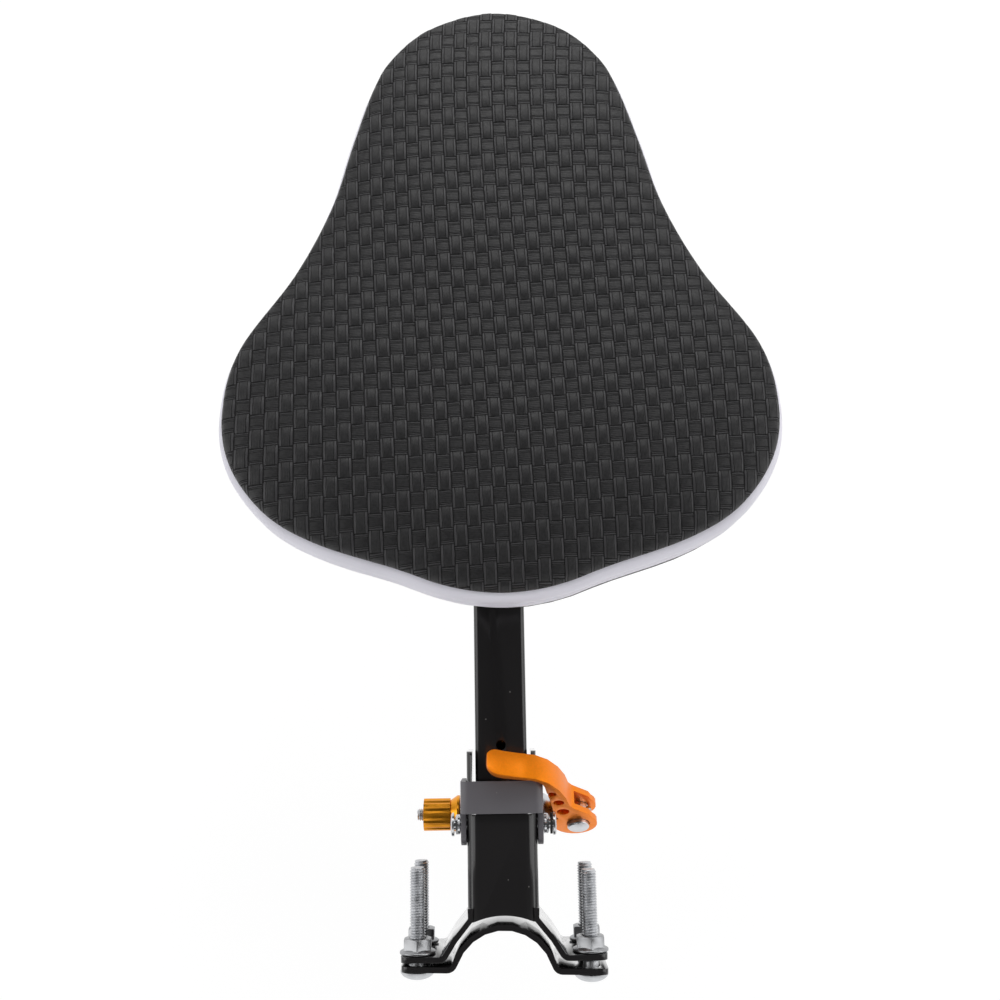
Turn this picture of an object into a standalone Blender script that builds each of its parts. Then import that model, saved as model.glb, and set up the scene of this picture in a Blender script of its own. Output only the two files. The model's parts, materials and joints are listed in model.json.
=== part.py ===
# Child bike seat: a woven-cover saddle on a square steel arm, held by a quick-release tube clamp.
#
# Frame: metres, +Z up with the saddle level, +Y forward towards the saddle's nose, +X to the right.
# The origin lies on the axis of the bike tube that the clamp is made for, midway along the clamp.
# The clamp and the arm are drawn in their own tilted frame: x across, y forward along the arm,
# z up along the bike tube. The empty clamp_frame tilts them into place.

import math

import bmesh
import bpy
from mathutils import Matrix, Vector

# Fits
CONTACT_GAP = 0.0003          # left between pieces that rest on each other
HOLE_CLEARANCE = 0.0006       # a hole's diameter over its bolt's
ARC_STEP = math.radians(15)   # the turn of one straight edge in an arc
MERGE_DISTANCE = 0.000001
SHARPEST_BEND = 0.0005        # smallest inner radius of bent sheet

# Tube clamp
CLAMP_TILT = math.radians(9)  # rise of the arm towards the nose
TUBE_RADIUS = 0.0186          # bike tube that the arch sits on
SHEET = 0.002                 # bracket and lower plate
CLAMP_DEPTH = 0.034           # along the bike tube
FOOT_SPAN = 0.077
FOOT_UNDERSIDE = 0.0034       # lower plate's feet ahead of the tube's axis
FOOT_GAP = 0.0022             # between the two plates' feet
FOOT_CORNER = 0.003
NEST_GAP = 0.00225            # between the arch and the legs above it
FOOT_BEND = 0.003
LOWER_PLATE_TILT = math.radians(1.5)  # it sits askew, left foot up
BOLT_SHARE = 0.58             # the bolts' place on the foot's flat, from its bend to its end
BOLT_ROW_SPACING = 0.020

# Bracket channel
ARM_SIDE_CLEARANCE = 0.0014
ARM_FACE_CLEARANCE = 0.001
CHANNEL_BEND = 0.0045
WEB_BOTTOM = 0.0214
WEB_ARCH_RISE = 0.0024
WEB_LENGTH = 0.0388
CHEEK_BEYOND_YOKE = 0.011
CHEEK_CORNER = 0.004
LEG_JOIN_ANGLE = math.radians(40)

# Arm
ARM_SIZE = 0.020
ARM_WALL = 0.0015
ARM_CORNER = 0.002
ARM_REAR_END = 0.027
ARM_HOLE = 0.0038
ARM_HOLE_BEYOND_CHEEKS = 0.0022

# Yoke strap
YOKE_SHEET = 0.002
YOKE_BEND = 0.003
YOKE_HEIGHT = 0.0119
YOKE_BOTTOM = 0.0606
YOKE_EYE = 0.0077             # radius of metal round each of its bolts
YOKE_EYE_REAR = math.radians(130)
YOKE_EYE_MIDDLE = math.radians(185)
YOKE_EYE_FRONT = math.radians(345)

# Side screws, one in each side of the yoke
SIDE_SCREW = 0.004
SIDE_SCREW_Y = 0.056
SIDE_SCREW_Z = 0.009
SIDE_HEAD = 0.0088
SIDE_HEAD_THICK = 0.0012
SIDE_HEAD_RIM = 0.0007        # straight part of its edge
SIDE_HEAD_FLAT = 0.0064       # flat top, inside the rounded edge
SIDE_NUT_FLATS = 0.0064
SIDE_NUT_THICK = 0.0022
SIDE_WASHER_THICK = 0.0008
SIDE_WASHER = 0.0079
SIDE_SCREW_SHY = 0.0003       # its end short of the cheek's inner face

# Quick release
SKEWER = 0.0048
SKEWER_CHAMFER = 0.0006
SKEWER_Y = 0.058
SKEWER_Z = -0.0115
SKEWER_BEYOND_NUT = 0.0026
SKEWER_BEYOND_PIN = 0.0012
WASHER_THICK = 0.0007
WASHER_DIAMETER = 0.012
THUMB_NUT_DIAMETER = 0.0126
THUMB_NUT_LENGTH = 0.0145
THUMB_NUT_FLANGE = 0.0148
THUMB_NUT_FLANGE_THICK = 0.0010
THUMB_NUT_FLARE = 0.0028
THUMB_NUT_FLUTES = 20
THUMB_NUT_FLUTE_DEPTH = 0.0004
CUP_WASHER_DIAMETER = 0.0154
CUP_WASHER_TOP = 0.0105
CUP_WASHER_HEIGHT = 0.0042
CUP_WASHER_RIM = 0.0012
BARREL_PIN = 0.0088
BARREL_PIN_LENGTH = 0.0135
BARREL_PIN_CHAMFER = 0.0005

# Cam lever
LEVER_TILT = math.radians(30)
LEVER_WIDTH = 0.0099
LEVER_EAR = 0.0023
CAM_RADIUS = 0.00875
CAM_OFFSET_ACROSS = -0.0011
CAM_OFFSET_ALONG = -0.0003
CAM_START = math.radians(-205)
CAM_END = math.radians(42)
FORK_CROTCH = -0.0019         # where the fork's slot begins, beside the pin
FORK_SLOT_EASE = 0.0005       # room round the skewer's end as the lever turns
LEVER_TIP_CORNER = 0.0042
LEVER_HOLES = ((-0.0064, 0.0112, 0.0050), (-0.0084, 0.0192, 0.0043), (-0.0112, 0.0264, 0.0036))
LEVER_OUTSIDE = (
    (0.0042, 0.0084), (-0.0025, 0.0142), (-0.0041, 0.0166), (-0.0056, 0.0229), (-0.0085, 0.0298),
    (-0.0126, 0.0358), (-0.0175, 0.0396), (-0.0230, 0.0411), (-0.0290, 0.0429), (-0.0356, 0.0460),
)
LEVER_INSIDE = (
    (-0.0360, 0.0432), (-0.0295, 0.0404), (-0.0230, 0.0388), (-0.0188, 0.0380), (-0.0166, 0.0368),
    (-0.0150, 0.0350), (-0.0140, 0.0325), (-0.0134, 0.0290), (-0.0116, 0.0205),
    (-0.0106, 0.0140), (-0.0100, 0.0080),
)
LEVER_NOTCH = (-0.0080, 0.0050)

# Clamp bolts and flange nuts
BOLT = 0.006
BOLT_TIP = 0.040
BOLT_CHAMFER = 0.0005
BOLT_HEAD = 0.013
BOLT_HEAD_HEIGHT = 0.0032
BOLT_DOME_STEPS = 4
NUT_FLATS = 0.010
NUT_FLANGE = 0.0135
NUT_FLANGE_THICK = 0.0014
NUT_HEIGHT = 0.0054

# Saddle
SADDLE_LENGTH = 0.2598
SADDLE_WIDTH = 0.2094
SADDLE_REAR = 0.1285
SADDLE_SHIFT = 0.0019         # the saddle sits a little to the right of the arm
SEAM_HEIGHT = 0.080
CROWN = 0.015
EDGE_ROLL = 0.003             # drop of the cover at its rim above the seam
SADDLE_DIP = 0.0025           # hollow of the saddle's middle, front to back
COVER_THICK = 0.002
COVER_EASE = 0.0008           # room between the cover and the foam
WEAVE_ACROSS = 0.0051
WEAVE_ALONG = 0.0073
WEAVE_RELIEF = 0.0007
DOME_FULLNESS = 2.6           # how flat the middle of the crown is
DOME_SHOULDER = 0.72          # how round it turns down at its rim
DOME_SHARES = (1.0, 0.985, 0.94, 0.85, 0.68, 0.42)
CENTRE_SHARE = 0.36           # the crown's middle, a share of the length from the rear
BAND_HEIGHT = 0.0167
BAND_THICK = 0.002
BAND_BULGE = 0.0022
BAND_PROFILE = ((0.18, 0.75), (0.4, 1.0), (0.55, 0.72), (0.8, 0.62), (1.0, 0.2))  # down, bulge
BASE_THICK = 0.007
BASE_INSET = 0.0006
BASE_SHIFT = 0.0012           # and the board a little to the right under it
BASE_EDGE = 0.0012
OUTLINE_SIDES = 88
CURVE_SAMPLES = 12            # between two points of the outline

# Half of the saddle's outline, from the middle of the rear edge to the tip of the nose:
# share of the length from the rear, and share of half the width.
SADDLE_OUTLINE = (
    (0.000, 0.000), (0.010, 0.184), (0.036, 0.363), (0.074, 0.640), (0.120, 0.827),
    (0.195, 0.962), (0.280, 1.000), (0.377, 0.952), (0.500, 0.766), (0.620, 0.638),
    (0.735, 0.567), (0.845, 0.492), (0.910, 0.415), (0.970, 0.258), (1.000, 0.000),
)

# Saddle plate and its screws
PLATE_SHEET = 0.0025
PLATE_LENGTH = 0.120
PLATE_WIDTH = 0.070
PLATE_CORNER = 0.010
PLATE_REAR_OF_ARM_END = 0.070
PLATE_SCREW_INSET = 0.011
PLATE_SCREW = 0.005
PLATE_SCREW_HEAD = 0.009
PLATE_SCREW_HEAD_HEIGHT = 0.0026
PLATE_SCREW_GRIP = 0.0055     # length inside the base
PLATE_SCREW_FLAT = 0.0054     # flat of its pan head
PLATE_SCREW_SHOULDER = 0.0082
PLATE_SCREW_EDGE = 0.0008     # height of the head's rounded edge
PLATE_SCREW_POINT = 0.00125
GUSSET_LENGTH = 0.072
GUSSET_THICK = 0.0025
GUSSET_SETBACK = 0.006        # its front end behind the arm's
GUSSET_OVERLAP = 0.012        # how far it reaches down beside the arm
PLUG_DEPTH = 0.010
PLUG_FLANGE = 0.002

# Worked out from the sizes above, in the clamp's frame
HALF_DEPTH = CLAMP_DEPTH / 2
CHANNEL_HALF_INNER = ARM_SIZE / 2 + ARM_SIDE_CLEARANCE
CHANNEL_HALF_OUTER = CHANNEL_HALF_INNER + SHEET
ARM_TOP = HALF_DEPTH - SHEET - ARM_FACE_CLEARANCE
ARM_MIDDLE = ARM_TOP - ARM_SIZE / 2
YOKE_TOP = YOKE_BOTTOM + YOKE_HEIGHT
CHEEK_TOP = YOKE_TOP + CHEEK_BEYOND_YOKE
YOKE_HALF_INNER = CHANNEL_HALF_OUTER + CONTACT_GAP
YOKE_HALF_OUTER = YOKE_HALF_INNER + YOKE_SHEET
YOKE_FACE = HALF_DEPTH + CONTACT_GAP
LOWER_FOOT_TOP = FOOT_UNDERSIDE + SHEET
UPPER_FOOT_BOTTOM = LOWER_FOOT_TOP + FOOT_GAP
UPPER_FOOT_TOP = UPPER_FOOT_BOTTOM + SHEET
ARCH_MID_RADIUS = TUBE_RADIUS + SHEET / 2
LEG_MID_RADIUS = TUBE_RADIUS + SHEET + NEST_GAP + SHEET / 2
FOOT_BEND_Y = UPPER_FOOT_BOTTOM + SHEET / 2 + FOOT_BEND
FOOT_FLAT_X = math.sqrt((LEG_MID_RADIUS + FOOT_BEND) ** 2 - FOOT_BEND_Y ** 2)
BOLT_X = FOOT_FLAT_X + BOLT_SHARE * (FOOT_SPAN / 2 - FOOT_FLAT_X)
CUP_WASHER_SEAT = YOKE_HALF_OUTER + CONTACT_GAP
CAM_REACH = CAM_RADIUS + math.hypot(CAM_OFFSET_ACROSS, CAM_OFFSET_ALONG)
PIN_X = CUP_WASHER_SEAT + CUP_WASHER_HEIGHT + CONTACT_GAP + CAM_REACH
THUMB_NUT_FACE = YOKE_HALF_OUTER + CONTACT_GAP + WASHER_THICK + CONTACT_GAP

# Worked out for the saddle, in the seat's own frame
FOAM_BOTTOM = SEAM_HEIGHT - CONTACT_GAP - BAND_HEIGHT
BASE_TOP = FOAM_BOTTOM - CONTACT_GAP
BASE_BOTTOM = BASE_TOP - BASE_THICK
PLATE_TOP = BASE_BOTTOM - CONTACT_GAP
PLATE_BOTTOM = PLATE_TOP - PLATE_SHEET
ARM_FRONT_END = (PLATE_BOTTOM - 2 * CONTACT_GAP - ARM_TOP * math.cos(CLAMP_TILT)) / math.sin(CLAMP_TILT)
ARM_END_Y = ARM_FRONT_END * math.cos(CLAMP_TILT) - ARM_TOP * math.sin(CLAMP_TILT)
PLATE_MIDDLE_Y = ARM_END_Y - PLATE_REAR_OF_ARM_END + PLATE_LENGTH / 2
SADDLE_CENTRE = Vector((0.0, SADDLE_REAR + CENTRE_SHARE * SADDLE_LENGTH))


# Scene and materials

def clear_scene():
    for scene_object in list(bpy.data.objects):
        bpy.data.objects.remove(scene_object, do_unlink=True)


def make_material(name, colour, roughness, metallic=0.0):
    material = bpy.data.materials.new(name)
    material.use_nodes = True
    shader = material.node_tree.nodes["Principled BSDF"]
    shader.inputs["Base Color"].default_value = (*colour, 1.0)
    shader.inputs["Roughness"].default_value = roughness
    shader.inputs["Metallic"].default_value = metallic
    return material


def add_empty(name, location=(0, 0, 0), rotation=(0, 0, 0), parent=None):
    empty = bpy.data.objects.new(name, None)
    empty.empty_display_size = 0.01
    empty.location = location
    empty.rotation_euler = rotation
    empty.parent = parent
    bpy.context.collection.objects.link(empty)
    return empty


def add_object(name, mesh, material=None, parent=None, location=(0, 0, 0)):
    part = bpy.data.objects.new(name, mesh)
    if material is not None and not mesh.materials:
        mesh.materials.append(material)
    part.location = location
    part.parent = parent
    bpy.context.collection.objects.link(part)
    return part


def smooth(mesh, angle=35):
    mesh.shade_smooth()
    mesh.set_sharp_from_angle(angle=math.radians(angle))


def mesh_from(bm, name):
    bmesh.ops.recalc_face_normals(bm, faces=bm.faces)
    mesh = bpy.data.meshes.new(name)
    bm.to_mesh(mesh)
    bm.free()
    smooth(mesh)
    return mesh


# Flat outlines

def arc(centre, radius, start, end):
    """Points along an arc, both ends included."""
    steps = max(1, round(abs(end - start) / ARC_STEP))
    points = []
    for step in range(steps + 1):
        angle = start + (end - start) * step / steps
        points.append((centre[0] + radius * math.cos(angle), centre[1] + radius * math.sin(angle)))
    return points


def rounded(points, radii):
    """A closed outline with each corner rounded to its own radius."""
    outline = []
    count = len(points)
    for index, corner in enumerate(points):
        radius = radii[index]
        corner = Vector(corner)
        if radius <= 0:
            outline.append(tuple(corner))
            continue
        to_last = (Vector(points[index - 1]) - corner).normalized()
        to_next = (Vector(points[(index + 1) % count]) - corner).normalized()
        half = to_last.angle(to_next) / 2
        centre = corner + (to_last + to_next).normalized() * (radius / math.sin(half))
        first = corner + to_last * (radius / math.tan(half)) - centre
        last = corner + to_next * (radius / math.tan(half)) - centre
        start = math.atan2(first.y, first.x)
        turn = math.remainder(math.atan2(last.y, last.x) - start, 2 * math.pi)
        outline.extend(arc(centre, radius, start, start + turn))
    return outline


def thick_path(path, thickness):
    """The closed outline of a bent sheet, from the points of its middle line."""
    left = []
    right = []
    for index, point in enumerate(path):
        before = Vector(path[max(index - 1, 0)])
        after = Vector(path[min(index + 1, len(path) - 1)])
        along = (after - before).normalized()
        across = Vector((-along.y, along.x)) * (thickness / 2)
        left.append(tuple(Vector(point) + across))
        right.append(tuple(Vector(point) - across))
    return left + right[::-1]


def box_corners(half_width, half_height, middle=0.0):
    """Corners of an upright rectangle, with its middle at a height."""
    return [
        (-half_width, middle - half_height), (half_width, middle - half_height),
        (half_width, middle + half_height), (-half_width, middle + half_height),
    ]


def regular_polygon(flats, sides=6):
    radius = flats / 2 / math.cos(math.pi / sides)
    return [
        (radius * math.cos(2 * math.pi * side / sides), radius * math.sin(2 * math.pi * side / sides))
        for side in range(sides)
    ]


# Solids

AXES = {
    "x": lambda a, b, c: (c, a, b),
    "y": lambda a, b, c: (a, c, b),
    "z": lambda a, b, c: (a, b, c),
}


def prism(name, outline, axis, low, high):
    """An outline extruded along an axis: (y, z) for x, (x, z) for y and (x, y) for z."""
    place = AXES[axis]
    bm = bmesh.new()
    bottom = [bm.verts.new(place(a, b, low)) for a, b in outline]
    face = bm.faces.new(bottom)
    extruded = bmesh.ops.extrude_face_region(bm, geom=[face])
    top = [item for item in extruded["geom"] if isinstance(item, bmesh.types.BMVert)]
    bmesh.ops.translate(bm, verts=top, vec=Vector(place(0, 0, high - low)))
    return mesh_from(bm, name)


def turned(name, profile, axis, segments=24, closed=False):
    """A profile of (distance from the axis, place along it) turned about an axis."""
    place = AXES[axis]
    turn_axis = Vector(place(0, 0, 1))
    bm = bmesh.new()
    verts = [bm.verts.new(place(radius, 0, along)) for radius, along in profile]
    count = len(verts) if closed else len(verts) - 1
    edges = [bm.edges.new((verts[i], verts[(i + 1) % len(verts)])) for i in range(count)]
    bmesh.ops.spin(
        bm, geom=verts + edges, cent=(0, 0, 0), axis=turn_axis, angle=2 * math.pi, steps=segments
    )
    bmesh.ops.remove_doubles(bm, verts=bm.verts, dist=MERGE_DISTANCE)
    return mesh_from(bm, name)


def ring(name, outer, inner, axis, low, high, segments=24):
    profile = [(inner / 2, low), (outer / 2, low), (outer / 2, high), (inner / 2, high)]
    return turned(name, profile, axis, segments, closed=True)


def rod(name, diameter, axis, low, high, segments=18):
    profile = [(0, low), (diameter / 2, low), (diameter / 2, high), (0, high)]
    return turned(name, profile, axis, segments)


def moved(mesh, offset):
    mesh.transform(Matrix.Translation(offset))
    return mesh


def combine(part, operation, tool_mesh):
    """Cuts, adds or intersects a part with a guide mesh, which stays hidden beside it."""
    guide = add_object(f"guide_{part.name}_{len(part.modifiers)}", tool_mesh, parent=part)
    guide.hide_render = True
    guide.display_type = "WIRE"
    modifier = part.modifiers.new(operation.title(), "BOOLEAN")
    modifier.operation = operation
    modifier.solver = "EXACT"
    modifier.object = guide
    return part


def bevelled(part, width, segments=2, angle=50):
    modifier = part.modifiers.new("Bevel", "BEVEL")
    modifier.width = width
    modifier.segments = segments
    modifier.limit_method = "ANGLE"
    modifier.angle_limit = math.radians(angle)
    return part


# Tube clamp: bracket and lower plate

def bent_foot_path(arch_radius, foot_height):
    """Middle line of a plate from its foot's end to where it meets its arch, on the right."""
    bend_y = foot_height + FOOT_BEND
    reach = arch_radius + FOOT_BEND
    bend_x = math.sqrt(reach ** 2 - bend_y ** 2)
    meeting = math.atan2(bend_y, bend_x)
    foot = [(FOOT_SPAN / 2, foot_height)]
    bend = arc((bend_x, bend_y), FOOT_BEND, -math.pi / 2, meeting - math.pi)
    return foot + bend, meeting


def mirrored(points):
    return [(-x, y) for x, y in points]


def foot_hole_centres():
    return [
        (across * BOLT_X, row * BOLT_ROW_SPACING / 2)
        for across in (-1, 1) for row in (-1, 1)
    ]


def drill_feet(part, height):
    for x, z in foot_hole_centres():
        cutter = rod("foot_hole", BOLT + HOLE_CLEARANCE, "y", -SHEET, SHEET)
        combine(part, "DIFFERENCE", moved(cutter, (x, height, z)))


def build_lower_plate(material, parent):
    foot_height = FOOT_UNDERSIDE + SHEET / 2
    side, meeting = bent_foot_path(ARCH_MID_RADIUS, foot_height)
    arch = arc((0, 0), ARCH_MID_RADIUS, meeting, math.pi - meeting)
    path = side[:-1] + arch + mirrored(side[:-1])[::-1]
    outline = thick_path(path, SHEET)
    sheet = prism("lower_clamp_plate", outline, "z", -HALF_DEPTH, HALF_DEPTH)
    plate = add_object("lower_clamp_plate", sheet, material, parent)
    plate.rotation_euler.z = -LOWER_PLATE_TILT
    round_foot_corners(plate)
    drill_feet(plate, foot_height)
    return plate


def round_foot_corners(part):
    """Trims the corners of the feet, seen along the bolts."""
    outline = rounded(box_corners(FOOT_SPAN / 2, HALF_DEPTH), [FOOT_CORNER] * 4)
    combine(part, "INTERSECT", prism("foot_corners", outline, "y", -CHEEK_TOP, 2 * CHEEK_TOP))


def channel_section(half_outer, sheet, bend, front):
    """U section of a strap or channel round the arm: (x, z), open at the bottom."""
    half_inner = half_outer - sheet
    inner_bend = max(bend - sheet, SHARPEST_BEND)
    low = -HALF_DEPTH
    points = [
        (-half_outer, low), (-half_inner, low), (-half_inner, front - sheet), (half_inner, front - sheet),
        (half_inner, low), (half_outer, low), (half_outer, front), (-half_outer, front),
    ]
    return rounded(points, [0, 0, inner_bend, inner_bend, 0, 0, bend, bend])


def build_bracket(material, parent):
    section = channel_section(CHANNEL_HALF_OUTER, SHEET, CHANNEL_BEND, HALF_DEPTH)
    bracket = add_object(
        "clamp_bracket", prism("clamp_bracket", section, "y", WEB_BOTTOM, CHEEK_TOP), material, parent
    )

    cheek = rounded(
        [(0, -HALF_DEPTH), (CHEEK_TOP, -HALF_DEPTH), (CHEEK_TOP, HALF_DEPTH), (0, HALF_DEPTH)],
        [0, CHEEK_CORNER, CHEEK_CORNER, 0],
    )
    combine(bracket, "INTERSECT", prism("cheek_outline", cheek, "x", -FOOT_SPAN, FOOT_SPAN))

    window = [
        (-CHANNEL_HALF_INNER, WEB_BOTTOM + WEB_LENGTH), (CHANNEL_HALF_INNER, WEB_BOTTOM + WEB_LENGTH),
        (CHANNEL_HALF_INNER, 2 * CHEEK_TOP), (-CHANNEL_HALF_INNER, 2 * CHEEK_TOP),
    ]
    combine(bracket, "DIFFERENCE", prism("web_window", window, "z", ARM_MIDDLE, CLAMP_DEPTH))

    half_chord = CHANNEL_HALF_INNER
    arch_radius = (half_chord ** 2 + WEB_ARCH_RISE ** 2) / (2 * WEB_ARCH_RISE)
    arch = rod("web_arch", 2 * arch_radius, "z", ARM_MIDDLE, CLAMP_DEPTH, 90)
    arch_centre = WEB_BOTTOM + WEB_ARCH_RISE - arch_radius
    combine(bracket, "DIFFERENCE", moved(arch, (0, arch_centre, 0)))

    foot_height = UPPER_FOOT_BOTTOM + SHEET / 2
    side, meeting = bent_foot_path(LEG_MID_RADIUS, foot_height)
    leg_arc = arc((0, 0), LEG_MID_RADIUS, meeting, LEG_JOIN_ANGLE)
    wall = CHANNEL_HALF_OUTER - SHEET / 2
    join_x, join_y = leg_arc[-1]
    corner_y = join_y + (join_x - wall) / math.tan(LEG_JOIN_ANGLE)
    path = side[:-1] + leg_arc + [(wall, corner_y), (wall, corner_y + SHEET * 2)]
    for points in (path, mirrored(path)):
        leg = prism("leg", thick_path(points, SHEET), "z", -HALF_DEPTH, HALF_DEPTH)
        combine(bracket, "UNION", leg)
    round_foot_corners(bracket)
    drill_feet(bracket, foot_height)

    for diameter, y, z in side_hole_places():
        hole = rod("side_hole", diameter + HOLE_CLEARANCE, "x", -FOOT_SPAN, FOOT_SPAN)
        combine(bracket, "DIFFERENCE", moved(hole, (0, y, z)))
    return bracket


def side_hole_places():
    return ((SKEWER, SKEWER_Y, SKEWER_Z), (SIDE_SCREW, SIDE_SCREW_Y, SIDE_SCREW_Z))


def build_yoke(material, parent):
    section = channel_section(YOKE_HALF_OUTER, YOKE_SHEET, YOKE_BEND, YOKE_FACE + YOKE_SHEET)
    low = SIDE_SCREW_Y - 2 * YOKE_EYE
    yoke = add_object("yoke_strap", prism("yoke_strap", section, "y", low, YOKE_TOP), material, parent)

    face = HALF_DEPTH - YOKE_BEND
    side = [(YOKE_BOTTOM, CLAMP_DEPTH), (YOKE_BOTTOM, face)]
    side += arc((SIDE_SCREW_Y, SIDE_SCREW_Z), YOKE_EYE, YOKE_EYE_REAR, YOKE_EYE_MIDDLE)
    side += arc((SKEWER_Y, SKEWER_Z), YOKE_EYE, YOKE_EYE_MIDDLE, YOKE_EYE_FRONT)
    side += [(YOKE_TOP, SKEWER_Z + YOKE_EYE), (YOKE_TOP, CLAMP_DEPTH)]
    combine(yoke, "INTERSECT", prism("yoke_side", side, "x", -FOOT_SPAN, FOOT_SPAN))
    for diameter, y, z in side_hole_places():
        hole = rod("yoke_hole", diameter + HOLE_CLEARANCE, "x", -FOOT_SPAN, FOOT_SPAN)
        combine(yoke, "DIFFERENCE", moved(hole, (0, y, z)))
    return yoke


# Fasteners

def bolt_drop(x):
    """How far a bolt's head lies below the frame's level, because the lower plate sits askew."""
    tilt = math.sin(LOWER_PLATE_TILT)
    return x * tilt + BOLT_HEAD / 2 * tilt


def build_clamp_bolts(material, parent):
    seat = FOOT_UNDERSIDE * math.cos(LOWER_PLATE_TILT) - CONTACT_GAP
    angles = [math.pi / 2 * step / BOLT_DOME_STEPS for step in range(BOLT_DOME_STEPS + 1)]
    dome = [
        (BOLT_HEAD / 2 * math.sin(angle), seat - BOLT_HEAD_HEIGHT * math.cos(angle)) for angle in angles
    ]
    radius = BOLT / 2
    profile = dome + [
        (radius, seat), (radius, BOLT_TIP - BOLT_CHAMFER), (radius - BOLT_CHAMFER, BOLT_TIP), (0, BOLT_TIP),
    ]
    mesh = turned("clamp_bolt", profile, "y", 18)
    for name, (x, z) in zip(corner_names("clamp_bolt"), foot_hole_centres()):
        add_object(name, mesh, material, parent, (x, -bolt_drop(x), z))


def corner_names(stem):
    return [f"{stem}_{side}_{row}" for side in ("left", "right") for row in ("lower", "upper")]


def hex_nut_mesh(name, flats, bore, low, high, axis):
    blank = prism(name, regular_polygon(flats), axis, low, high)
    nut = add_object(name, blank)
    margin = high - low
    combine(nut, "DIFFERENCE", rod("bore", bore, axis, low - margin, high + margin))
    return nut


def frozen_mesh(part):
    """The part's mesh with its modifiers applied, so that copies can share it."""
    bpy.context.view_layer.update()
    evaluated = part.evaluated_get(bpy.context.evaluated_depsgraph_get())
    mesh = bpy.data.meshes.new_from_object(evaluated)
    for helper in list(part.children):
        bpy.data.objects.remove(helper, do_unlink=True)
    bpy.data.objects.remove(part, do_unlink=True)
    smooth(mesh)
    return mesh


def build_flange_nuts(material, parent):
    seat = UPPER_FOOT_TOP + CONTACT_GAP
    flange_top = seat + NUT_FLANGE_THICK
    hexagon = prism("flange_nut", regular_polygon(NUT_FLATS), "y", seat, seat + NUT_HEIGHT)
    nut = add_object("flange_nut", hexagon)
    flange = [
        (0, seat), (NUT_FLANGE / 2, seat), (NUT_FLANGE / 2, seat + NUT_FLANGE_THICK / 2),
        (NUT_FLATS / 2, flange_top), (0, flange_top),
    ]
    combine(nut, "UNION", turned("flange", flange, "y"))
    combine(nut, "DIFFERENCE", rod("bore", BOLT + HOLE_CLEARANCE, "y", -NUT_HEIGHT, seat + 2 * NUT_HEIGHT))
    mesh = frozen_mesh(nut)
    for name, (x, z) in zip(corner_names("flange_nut"), foot_hole_centres()):
        add_object(name, mesh, material, parent, (x, 0, z))


def side_screw_stack(side):
    """Places along x of the nut, the washer and the head, out from the yoke."""
    nut = YOKE_HALF_OUTER + CONTACT_GAP
    washer = nut + SIDE_NUT_THICK + CONTACT_GAP
    head = washer + (SIDE_WASHER_THICK + CONTACT_GAP if side == "right" else 0)
    return nut, washer, head


def build_side_screws(material, rubber, parent):
    for side, sign in (("left", -1), ("right", 1)):
        place = (0, SIDE_SCREW_Y, SIDE_SCREW_Z)
        nut_x, washer_x, head_x = side_screw_stack(side)
        end_x = CHANNEL_HALF_INNER + SIDE_SCREW_SHY
        profile = [
            (0, end_x), (SIDE_SCREW / 2, end_x), (SIDE_SCREW / 2, head_x), (SIDE_HEAD / 2, head_x),
            (SIDE_HEAD / 2, head_x + SIDE_HEAD_RIM), (SIDE_HEAD_FLAT / 2, head_x + SIDE_HEAD_THICK),
            (0, head_x + SIDE_HEAD_THICK),
        ]
        screw = turned(f"side_screw_{side}", [(r, sign * x) for r, x in profile], "x", 18)
        add_object(f"side_screw_{side}", screw, material, parent, place)
        bore = SIDE_SCREW + HOLE_CLEARANCE
        low, high = sorted((sign * nut_x, sign * (nut_x + SIDE_NUT_THICK)))
        nut = hex_nut_mesh(f"side_nut_{side}", SIDE_NUT_FLATS, bore, low, high, "x")
        mesh = frozen_mesh(nut)
        add_object(f"side_nut_{side}", mesh, material, parent, place)
        if side == "right":
            washer = ring("side_washer", SIDE_WASHER, bore, "x", washer_x, washer_x + SIDE_WASHER_THICK)
            add_object("side_washer_right", washer, rubber, parent, place)


# Quick release

def build_skewer(material, parent):
    left = -(THUMB_NUT_FACE + THUMB_NUT_LENGTH + SKEWER_BEYOND_NUT)
    right = PIN_X + BARREL_PIN / 2 + SKEWER_BEYOND_PIN
    radius = SKEWER / 2
    tip_radius = radius - SKEWER_CHAMFER
    profile = [
        (0, left), (tip_radius, left), (radius, left + SKEWER_CHAMFER),
        (radius, right - SKEWER_CHAMFER), (tip_radius, right), (0, right),
    ]
    add_object("skewer_rod", turned("skewer_rod", profile, "x", 18), material, parent)


def build_nut_washer(material, parent):
    high = -(YOKE_HALF_OUTER + CONTACT_GAP)
    washer = ring("nut_washer", WASHER_DIAMETER, SKEWER + HOLE_CLEARANCE, "x", high - WASHER_THICK, high)
    add_object("nut_washer", washer, material, parent)


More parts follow.
